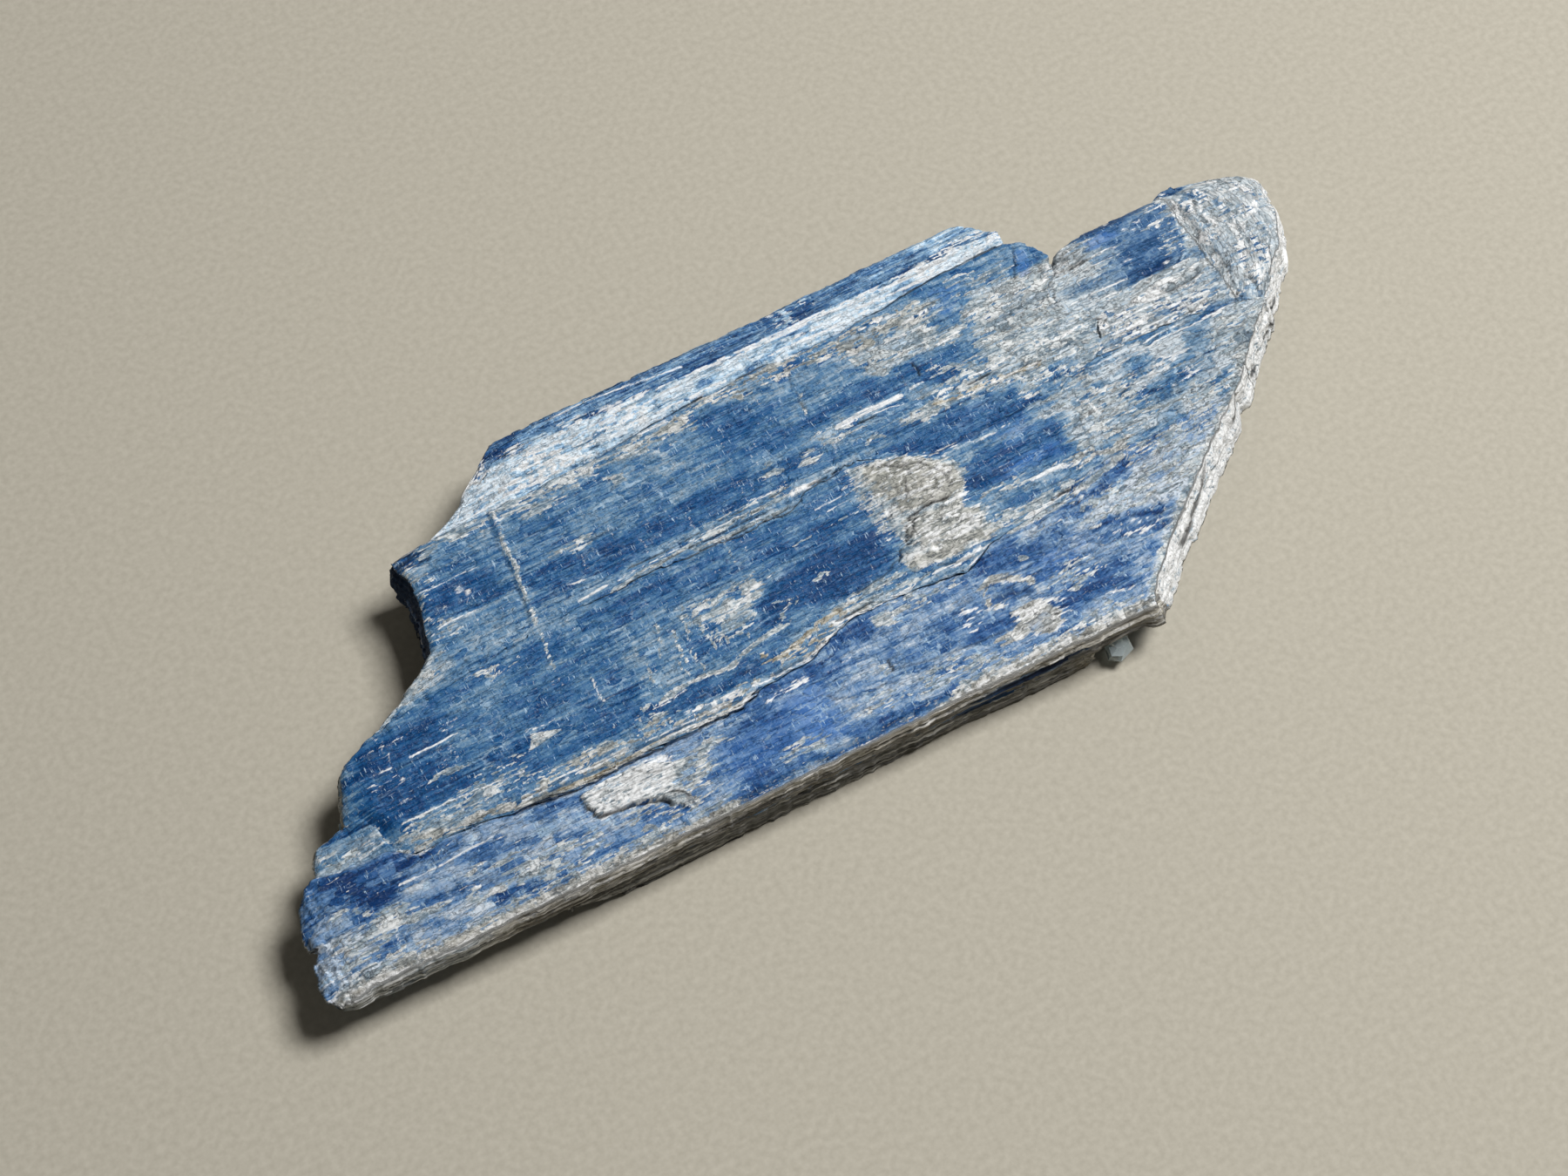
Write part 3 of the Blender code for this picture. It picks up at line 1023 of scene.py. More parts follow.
@dataclass(frozen=True)
class CleavedKyanite:
    """Kyanite as cleavage leaves it: blue in streaks, glassy to pearly, finely lined along the
    blade, crossed by hair cracks, with pale clay and white splinters where the marks put them.

    Each grain holds millimetres along and across the blade and a number of levels of detail.
    """

    name: str
    # The blue deepens in steps along the streaks, so the eye reads layers inside the crystal.
    blues: Stops = depths("#D4DEE5", "#B4C4D1", "#8CA6BC", "#5C87AC", "#3B6C9B", "#1D588F", "#06396D")
    vivid_blue: str = "#3F7ACB"
    # Clay lies matt in the hollows: bluish grey where it is thin, tan and cream where it is thick.
    cool_clay: Stops = ((0.22, "#62788A"), (0.40, "#9BACB6"), (0.56, "#C9D1D3"), (0.74, "#F3F5F3"))
    warm_clay: Stops = ((0.22, "#77694E"), (0.40, "#B4A98F"), (0.56, "#DAD2C0"), (0.78, "#F6F2E9"))
    # Splinters stand off the cleavage face and scatter light, so they look like white fibres. The same
    # whites also paint highlights on ledges, glints and sheen.
    whites: Stops = ((0.20, "#7FA0C0"), (0.41, "#C9DAE6"), (0.57, "#FDFEFE"))
    # Hair cracks catch the light as thin pale lines. Closed seams and filled cracks look dark.
    hair: str = "#B6D2E8"
    seam: str = "#0F2A4A"
    crack: str = "#3B3F44"
    # Near-black for grime and dark cracks, and for the shade that is painted in creases and under steps.
    stain: str = "#14161A"
    # A fresh cleavage face gleams softly, and clay, grime and painted shade take the gleam away.
    gloss: float = 0.32
    matt: float = 0.85
    ior: float = 1.72
    specular: float = 0.12
    bump: float = 0.065
    bump_share: float = 0.9
    # How much of each layer shows.
    vivid_share: float = 0.55
    hair_share: float = 0.6
    seam_share: float = 0.5
    clay_share: float = 0.9
    crack_share: float = 0.5
    flake_and_highlight_share: float = 0.95
    grime_and_shade_share: float = 0.9
    # The noises that the layers are cut from. Real cleavage lines are finer than 0.11 mm, so these
    # are as coarse as they need to be to show.
    lines: Grains = (2.4, 0.11, 4.0)
    specks: Grains = (0.30, 0.17, 4.0)
    ticks: Grains = (0.12, 0.75, 3.0)
    blotches: Grains = (1.5, 0.8, 3.0)
    lumps: Grains = (0.9, 0.55, 5.0)
    traces: Grains = (4.5, 0.55, 3.0)
    webs: Grains = (1.3, 0.7, 4.0)
    trace_width: float = 0.010
    split_width: float = 0.016
    web_width: float = 0.013
    # Where a noise, a mark or a distance starts to show, and where it shows in full.
    web_cut: Cut = (0.56, 0.44)
    loose_cut: Cut = (0.40, 0.56)
    tight_cut: Cut = (1.15, 0.35)
    rim_cut: Cut = (0.12, 0.02)
    pale_rim_cut: Cut = (0.5, 0.65)
    dark_rim_cut: Cut = (0.45, 0.3)
    joint_cut: Cut = (0.07, 0.01)
    hair_cut: Cut = (0.59, 0.67)
    patch_cut: Cut = (0.46, 0.56)
    thread_cut: Cut = (0.60, 0.70)
    break_cut: Cut = (0.46, 0.62)
    # Painted glints: where the tiny painted highlights show.
    painted_glint_cut: Cut = (0.625, 0.655)
    painted_glint_patch_cut: Cut = (0.47, 0.53)
    dark_line_cut: Cut = (0.40, 0.30)
    dark_speck_cut: Cut = (0.38, 0.28)
    clay_cut: Cut = (0.38, 0.64)
    least_clay_cut: Cut = (0.02, 0.14)
    crack_cut: Cut = (0.36, 0.56)
    flake_and_highlight_cut: Cut = (0.40, 1.10)
    # Cells: how far their sides bend, and their size along and across the blade, in millimetres.
    chip_bend: float = 0.3
    chip_size: tuple[float, float] = (1.0, 0.45)
    facet_bend: float = 0.6
    facet_size: tuple[float, float] = (1.9, 0.8)

    def build(self) -> bpy.types.Material:
        """Make the node tree.

        Returns:
            The finished material.
        """
        tree = Tree(self.name)
        add = tree.add
        skin = self.patterns(tree)
        self.wear(skin)
        colour = self.soil(skin, self.blue(skin))
        rough = add("MapRange", skin.cover + skin.grime, 0.0, 1.0, self.gloss, self.matt)
        rough = rough + (skin.specks - 0.5) * 0.3
        bump = add("Bump", Strength=self.bump_share, Distance=self.bump * MM, Height=self.relief(skin))
        finish = {"IOR": self.ior, "Specular_IOR_Level": self.specular}
        shader = add("BsdfPrincipled", Base_Color=colour, Roughness=rough, Normal=bump, **finish)
        add("OutputMaterial", Surface=shader)
        return tree.material

    def patterns(self, tree: Tree) -> SimpleNamespace:
        """Read the marks and lay the patterns: noises, wandering lines, small chips that fade out on
        the deepest blue, and larger facets where the marks call the surface crazed.

        Args:
            tree: the tree to fill.

        Returns:
            The skin: one wire for each mark and each pattern, and the tree's add.
        """
        add = tree.add
        skin = SimpleNamespace(add=add)
        for kind in (T, C, W, F, G, Z, V):
            setattr(skin, kind.value, add("Attribute", attribute_name=kind.value)["Fac"])
        flow = add("Attribute", attribute_name="flow")["Vector"]
        for name in ("lines", "specks", "ticks", "blotches", "lumps", "traces", "webs"):
            setattr(skin, name, self.noise(flow, getattr(self, name)))
        skin.traces = ridge(skin.traces, self.trace_width)
        skin.splits = ridge(skin.lumps, self.split_width)
        skin.webs = ridge(skin.webs, self.web_width)
        skin.webs = skin.webs * add("MapRange", skin.blotches, *self.web_cut, **SMOOTH)
        chips, rims = self.cells(flow, skin.specks["Color"], self.chip_bend, self.chip_size)
        shade = add("SeparateColor", chips["Color"])
        loose = add("MapRange", skin.blotches, *self.loose_cut, **SMOOTH) + 0.35
        loose = loose * add("MapRange", skin.tone, *self.tight_cut, **SMOOTH)
        skin.chips = (shade - 0.5) * loose
        skin.rims = add("MapRange", rims, *self.rim_cut, **SMOOTH) * loose
        skin.pale_rims = skin.rims * add("MapRange", shade["Green"], *self.pale_rim_cut, **SMOOTH)
        skin.dark_rims = skin.rims * add("MapRange", shade["Green"], *self.dark_rim_cut, **SMOOTH)
        facets, joints = self.cells(flow, skin.lumps["Color"], self.facet_bend, self.facet_size)
        skin.facets = (add("SeparateColor", facets["Color"]) - 0.5) * skin.craze
        skin.joints = add("MapRange", joints, *self.joint_cut, **SMOOTH)
        return skin

    def wear(self, skin: SimpleNamespace) -> None:
        """Add to the skin how it is torn, where clay covers it and how gritty that is, and where
        crazed parts crack. Crazed and vivid parts are stiller than the rest.

        Args:
            skin: the marks and patterns.
        """
        add = skin.add
        skin.still = add("MapRange", skin.craze | skin.vivid, 0.0, 1.0, 1.0, 0.3)
        torn = swing((1.0, skin.lines), (0.9, skin.specks), (0.3, skin.ticks))
        skin.torn = torn * skin.still + skin.facets * 0.6
        cover = add("MapRange", skin.clay + skin.torn, *self.clay_cut, **SMOOTH)
        skin.cover = cover * add("MapRange", skin.clay, *self.least_clay_cut, **SMOOTH)
        grit = swing((1.0, skin.lines), (1.0, skin.specks), (1.3, skin.lumps), (0.7, skin.blotches))
        skin.grit = grit * skin.still + 0.52 + (skin.facets + skin.chips) * 0.35
        crazed = (skin.joints | skin.splits) * skin.craze
        skin.crazed = crazed * add("MapRange", skin.specks, *self.crack_cut, **SMOOTH)

    def blue(self, skin: SimpleNamespace) -> Wire:
        """Colour the crystal: the mark's depth of blue, swung by the streaks and less so where it is deep,
        then hair cracks, painted glints and dark seams.

        Args:
            skin: the marks and patterns.

        Returns:
            The colour.
        """
        add = skin.add
        depth = skin.tone * 0.97
        stir = swing((0.75, skin.lines), (0.9, skin.specks), (0.65, skin.ticks), (0.75, skin.blotches))
        stir = stir * skin.still * add("MapRange", depth, 0.2, 0.95, 1.15, 0.55)
        dark = add("MapRange", skin.lines, *self.dark_line_cut, **SMOOTH)
        dark = dark + add("MapRange", skin.specks, *self.dark_speck_cut, **SMOOTH)
        depth = depth + stir + skin.chips * 0.42 + dark * 0.14 + skin.facets * 0.6
        hair = add("MapRange", skin.ticks, *self.hair_cut, **SMOOTH)
        hair = hair * add("MapRange", skin.blotches, *self.patch_cut, **SMOOTH)
        threads = add("MapRange", skin.lines, *self.thread_cut, **SMOOTH)
        threads = threads * add("MapRange", skin.specks, *self.break_cut, **SMOOTH)
        hair = hair + threads + skin.pale_rims
        # Painted glints: tiny pale specks mixed into the colour as highlights.
        painted_glint = add("MapRange", skin.ticks, *self.painted_glint_cut, **SMOOTH)
        painted_glint = painted_glint * add("MapRange", skin.blotches, *self.painted_glint_patch_cut, **SMOOTH)
        colour = add("ValToRGB", depth, stops=self.blues)
        for amount, layer in (
            (skin.vivid * self.vivid_share, self.vivid_blue),
            (hair * self.hair_share, self.hair),
            (painted_glint * self.hair_share, self.hair),
            ((skin.traces | skin.webs) * self.seam_share, self.seam),
        ):
            colour = add("Mix", amount, colour, layer, **COLOURS)
        return colour

    def soil(self, skin: SimpleNamespace, colour: Wire) -> Wire:
        """Lay clay over the blue, then cracks, white flakes with painted highlights, and grime with painted
        shade.

        Args:
            skin: the marks and patterns.
            colour: the crystal's colour.

        Returns:
            The colour with its layers.
        """
        add = skin.add
        cool = add("ValToRGB", skin.grit, stops=self.cool_clay)
        warm = add("ValToRGB", skin.grit, stops=self.warm_clay)
        clay = add("Mix", skin.warm, cool, warm, **COLOURS)
        cracks = (skin.splits | skin.dark_rims) * self.crack_share
        clay = add("Mix", cracks, clay, self.crack, **COLOURS)
        flakes_and_highlights = add("MapRange", skin.flake + skin.torn * 1.5, *self.flake_and_highlight_cut, **SMOOTH)
        white = add("ValToRGB", skin.grit + skin.flake * 0.2, stops=self.whites)
        for amount, layer in (
            (skin.cover * self.clay_share, clay),
            (skin.crazed * self.crack_share, self.crack),
            # White flakes together with the painted highlights, glints and sheen of the same layer; then
            # grime together with painted shade.
            (flakes_and_highlights * self.flake_and_highlight_share, white),
            (skin.grime * self.grime_and_shade_share, self.stain),
        ):
            colour = add("Mix", amount, colour, layer, **COLOURS)
        return colour

    def relief(self, skin: SimpleNamespace) -> Wire:
        """Height of the fine surface: streaks and chips, cut by rims, seams and cracks.

        Args:
            skin: the marks and patterns.

        Returns:
            The height, as a share of the bump.
        """
        height = swing((0.9, skin.lines), (0.9, skin.specks), (0.5, skin.ticks), (0.8, skin.lumps))
        height = height + skin.chips - (skin.rims + skin.webs) * 0.3 - skin.traces * 0.3
        return height + skin.facets * 1.2 - skin.crazed * 0.5 - skin.splits * (skin.cover * 0.4)

    def noise(self, flow: Wire, grain: Grains) -> Wire:
        """A noise whose features are as large as the grain says.

        Args:
            flow: millimetres along and across the grain.
            grain: its size and its levels of detail.

        Returns:
            The noise.
        """
        along, across, detail = grain
        place = flow.tree.add("Mapping", flow, Scale=(1 / along, 1 / across, 1.0))
        return flow.tree.add("TexNoise", place, Scale=1.0, Detail=detail, Roughness=0.62)

    def cells(
        self, flow: Wire, colour: Wire, bend: float, size: tuple[float, float]
    ) -> tuple[Wire, Wire]:
        """Break the surface into cells whose sides a noise bends.

        Args:
            flow: millimetres along and across the grain.
            colour: a noise's colour, which moves the place that is read.
            bend: how far it moves, in millimetres.
            size: the cells' millimetres along and across the grain.

        Returns:
            The cells, and how far each point is from the nearest other cell.
        """
        add = flow.tree.add
        place = add("VectorMath", flow, add("VectorMath", colour, bend, operation="SCALE"), operation="ADD")
        place = add("Mapping", place, Scale=(1 / size[0], 1 / size[1], 1.0))
        cells = add("TexVoronoi", place, **CELLS)
        return cells, add("TexVoronoi", place, feature="F2", **CELLS) - cells


def ridge(noise: Wire, width: float) -> Wire:
    """Thin wandering lines where a noise passes through its middle value."""
    away = noise.tree.add("Math", noise - 0.5, operation="ABSOLUTE")
    return noise.tree.add("MapRange", away, width, 0.2 * width, **SMOOTH)


@dataclass(frozen=True)
class ClearKyanite:
    """A splinter of kyanite clear enough to see through, broken out of a blade.

    Light passes it with a pale blue-green tint and bends strongly, and its finely broken skin
    scatters some of it, so the eye reads a small icy crystal.
    """

    name: str = "clear_kyanite"
    tint: str = "#E6F4F6"
    ior: float = 1.72
    clear: float = 0.6
    grain: float = 0.35
    polished: float = 0.05
    broken: float = 0.35
    bump: float = 0.05

    def build(self) -> bpy.types.Material:
        """Make the node tree: plain transmission, with a fine broken surface.

        Returns:
            The finished material.
        """
        tree = Tree(self.name)
        add = tree.add
        noise = add("TexNoise", add("TexCoord")["Object"], Scale=1 / (self.grain * MM), Detail=3.0)
        rough = add("MapRange", noise, 0.3, 0.8, self.polished, self.broken)
        bump = add("Bump", Strength=0.4, Distance=self.bump * MM, Height=noise)
        glass = {"Base_Color": self.tint, "IOR": self.ior, "Transmission_Weight": self.clear}
        shader = add("BsdfPrincipled", Roughness=rough, Normal=bump, **glass)
        add("OutputMaterial", Surface=shader)
        return tree.material


def towards(azimuth: float, elevation: float) -> Vector:
    """The direction at these angles in degrees, the azimuth counted from X towards Y."""
    turn, climb = np.radians((azimuth, elevation))
    return Vector((np.cos(turn) * np.cos(climb), np.sin(turn) * np.cos(climb), np.sin(climb)))


@dataclass
class Studio:
    """A plain pale floor, soft light from the right and behind, and the camera.

    The heading is the way the camera looks, in degrees from Y towards X. Its aim is a place on the
    floor in blade millimetres, and its distance is in millimetres too.
    """

    floor_size: float = 1.6
    floor_grain: float = 0.4
    floor_colours: Stops = ((0.3, "#B2AC9D"), (0.7, "#BFB9AA"))
    aim: tuple[float, float] = (33.626, 12.999)
    distance: float = 162.5
    elevation: float = 62.0
    heading: float = 28.6
    lens: float = 65.0
    key_azimuth: float = -5.0
    key_elevation: float = 62.0
    key_distance: float = 0.42
    key_size: float = 0.145
    key_power: float = 1.91
    fill: float = 0.085
    surround: str = "#F0ECE5"

    def build(self) -> None:
        """Make the floor, the lights and the camera."""
        self.lay_floor()
        self.light()
        self.place_camera()

    def lay_floor(self) -> None:
        """A square of matt pale card under the cluster. Its fibres are drawn coarser than they are, so
        that they only just show."""
        mesh = bpy.data.meshes.new("floor")
        half = self.floor_size / 2
        corners = [(-half, -half, 0.0), (half, -half, 0.0), (half, half, 0.0), (-half, half, 0.0)]
        mesh.from_pydata(corners, [], [(0, 1, 2, 3)])
        floor = add_object("floor", mesh)
        tree = Tree("matt_card")
        place = tree.add("TexCoord")["Object"]
        noise = tree.add("TexNoise", place, Scale=1 / (self.floor_grain * MM), Detail=6.0)
        colour = tree.add("ValToRGB", noise, stops=self.floor_colours)
        tree.add("OutputMaterial", tree.add("BsdfPrincipled", Roughness=0.95, Base_Color=colour))
        mesh.materials.append(tree.material)

    def light(self) -> None:
        """One soft square lamp high on the right, and an even pale surround."""
        data = bpy.data.lights.new("key", "AREA")
        data.size = self.key_size
        data.energy = self.key_power
        lamp = add_object("key", data)
        way = towards(self.key_azimuth, self.key_elevation)
        lamp.location = way * self.key_distance
        lamp.rotation_euler = way.to_track_quat("Z", "Y").to_euler()
        world = bpy.data.worlds.new("surround")
        world.use_nodes = True
        background = world.node_tree.nodes["Background"]
        background.inputs["Color"].default_value = linear(self.surround)
        background.inputs["Strength"].default_value = self.fill
        bpy.context.scene.world = world
        bpy.context.scene.view_settings.view_transform = "Standard"

    def place_camera(self) -> None:
        """Look down on the cluster from its front, turned so that the blades rise to the right."""
        data = bpy.data.cameras.new("camera")
        data.lens = self.lens
        data.clip_start, data.clip_end = 0.01, 10.0
        camera = add_object("camera", data)
        ahead = towards(90 - self.heading, -self.elevation)
        aim = Vector((self.aim[0] - FOOTPRINT_MIDDLE[0], self.aim[1] - FOOTPRINT_MIDDLE[1], 0.0))
        camera.location = (aim - ahead * self.distance) * MM
        camera.rotation_euler = ahead.to_track_quat("-Z", "Y").to_euler()
        bpy.context.scene.camera = camera


# Edges that two blades share, each at its own place along the blades or across them.
FRONT_PARTING = Edge(
    (1.8, 7.35, 2.4, 7.6, 3.4, 7.35, 5.2, 7.15, 6.3, 7.05, 8.2, 6.05, 10, 6.25, 12.5, 6.15, 13.2, 5.75,
    16.4, 5.4, 24.5, 5.45, 27, 5.4, 28.5, 6, 31.5, 6.15, 33.3, 7, 35, 7.45, 40.3, 7.1, 41.8, 6.75,
    44, 7.8, 48.6, 8.15, 52, 9.25, 54, 9.5, 60, 9.7, 62, 9.9), 101, 0.09, parting=(8, 1, 9, 0.35, 13, 0.4,
    13.8, 1, 27.5, 1, 28.5, 0.4, 33, 0.6, 35, 0.25, 41.5, 0.3, 42.5, 0.7, 44.5, 0.4, 45.5, 0),
    height=4.62, depth=0.5
)
MIDDLE_PARTING = Edge(
    (7.4, 13.1, 8.6, 13.5, 10, 13.8, 14, 14.15, 17, 14.7, 22, 15.1, 28, 15.1, 31, 14.9, 35, 14.9,
    36.5, 15.5, 40, 15.9, 41.5, 15.3, 43, 14.7, 44.5, 14.4, 51.4, 14.6, 53.5, 15, 55.6, 15.3, 60, 15.3,
    64, 15, 66.4, 14.2), 104, 0.09, parting=(8, 0.6, 13, 0.3, 18, 0, 21.5, 0.1, 23, 0.6, 36, 0.7,
    39.5, 0.6, 41.5, 0, 62, 0, 64.5, 0.5), height=4.88, depth=0.6
)
REAR_PARTING = Edge(
    (14, 22.75, 16.2, 22.85, 18.3, 22.95, 20, 23, 25.5, 23.08, 32, 23.72, 38.1, 24.02, 39.5, 23.8,
    45, 24.05, 50, 24.65, 54.8, 24.8, 56.5, 24.2), 107, 0.05
)
END_PARTING = Edge(
    (15.3, 55.6, 17.3, 56.9, 20.2, 55.3, 21.6, 56.2, 22.8, 57), 110, 0.2, parting=(16, 0, 19.5, 0.1,
    20.5, 0.4, 22, 1), height=4.9, depth=0.2
)
CORNER_LIP = Edge((7.05, 6.8, 7.6, 6.6, 8.6, 6.5, 9.6, 6), 113, 0.05, parting=(7, 0, 9.6, 0), height=4.46)
RIGHT_EDGE = (
    0.4, 50.3, 1, 50.6, 2.1, 51.7, 3.9, 53.7, 5.6, 55.8, 7.2, 57.9, 8.7, 60, 10.2, 62, 12.6, 64.4,
    14.3, 66.6, 16.2, 68.6, 17.6, 69.5,
)

# Outlines that more than one mark fills, as X, Y, X, Y and so on.
STANDING_FLAKE = (16.8, 4.3, 17.3, 3.5, 19.2, 3.25, 20.6, 2.75, 21.6, 1.6, 22.3, 2.1, 21.5, 3.4,
    23.4, 4.2, 21.2, 4.7, 20.2, 5.2, 16.9, 5.1)
STAINED_CORNER = (50, 16.2, 57.5, 16.2, 57.5, 22.5, 53.5, 22.4, 51.4, 22.6, 50.2, 21.2, 49.9, 19)
TUCKED_SPLINTER = (56, 16.1, 57, 17.5, 57.3, 17.2, 56.9, 16.5)


def whiten(values: dict[Kind, Array], chosen: Array, x: Array, z: Array) -> None:
    """White broken laminae on the part of a wall that is chosen, with dark gaps below its top.

    Args:
        values: the wall's fields.
        chosen: where the wall is broken.
        x: millimetres along the blades.
        z: height.
    """
    wander = Grain(134, 1.6, 1.0).at(x, 0 * x)
    gap = np.exp(-(((z - 3.0 - 1.2 * wander) / 0.16) ** 4))
    gap *= rise(0.58, 0.66, Grain(133, 1.3, 1.0).at(x, 0 * x))
    values[C][chosen] = 1.0
    values[W][chosen] = 0.65
    values[T][chosen] = 0.0
    values[F][chosen] = np.maximum(values[F], 1.1)[chosen]
    values[G][chosen] = np.maximum(0.15 * values[G], 0.95 * gap)[chosen]


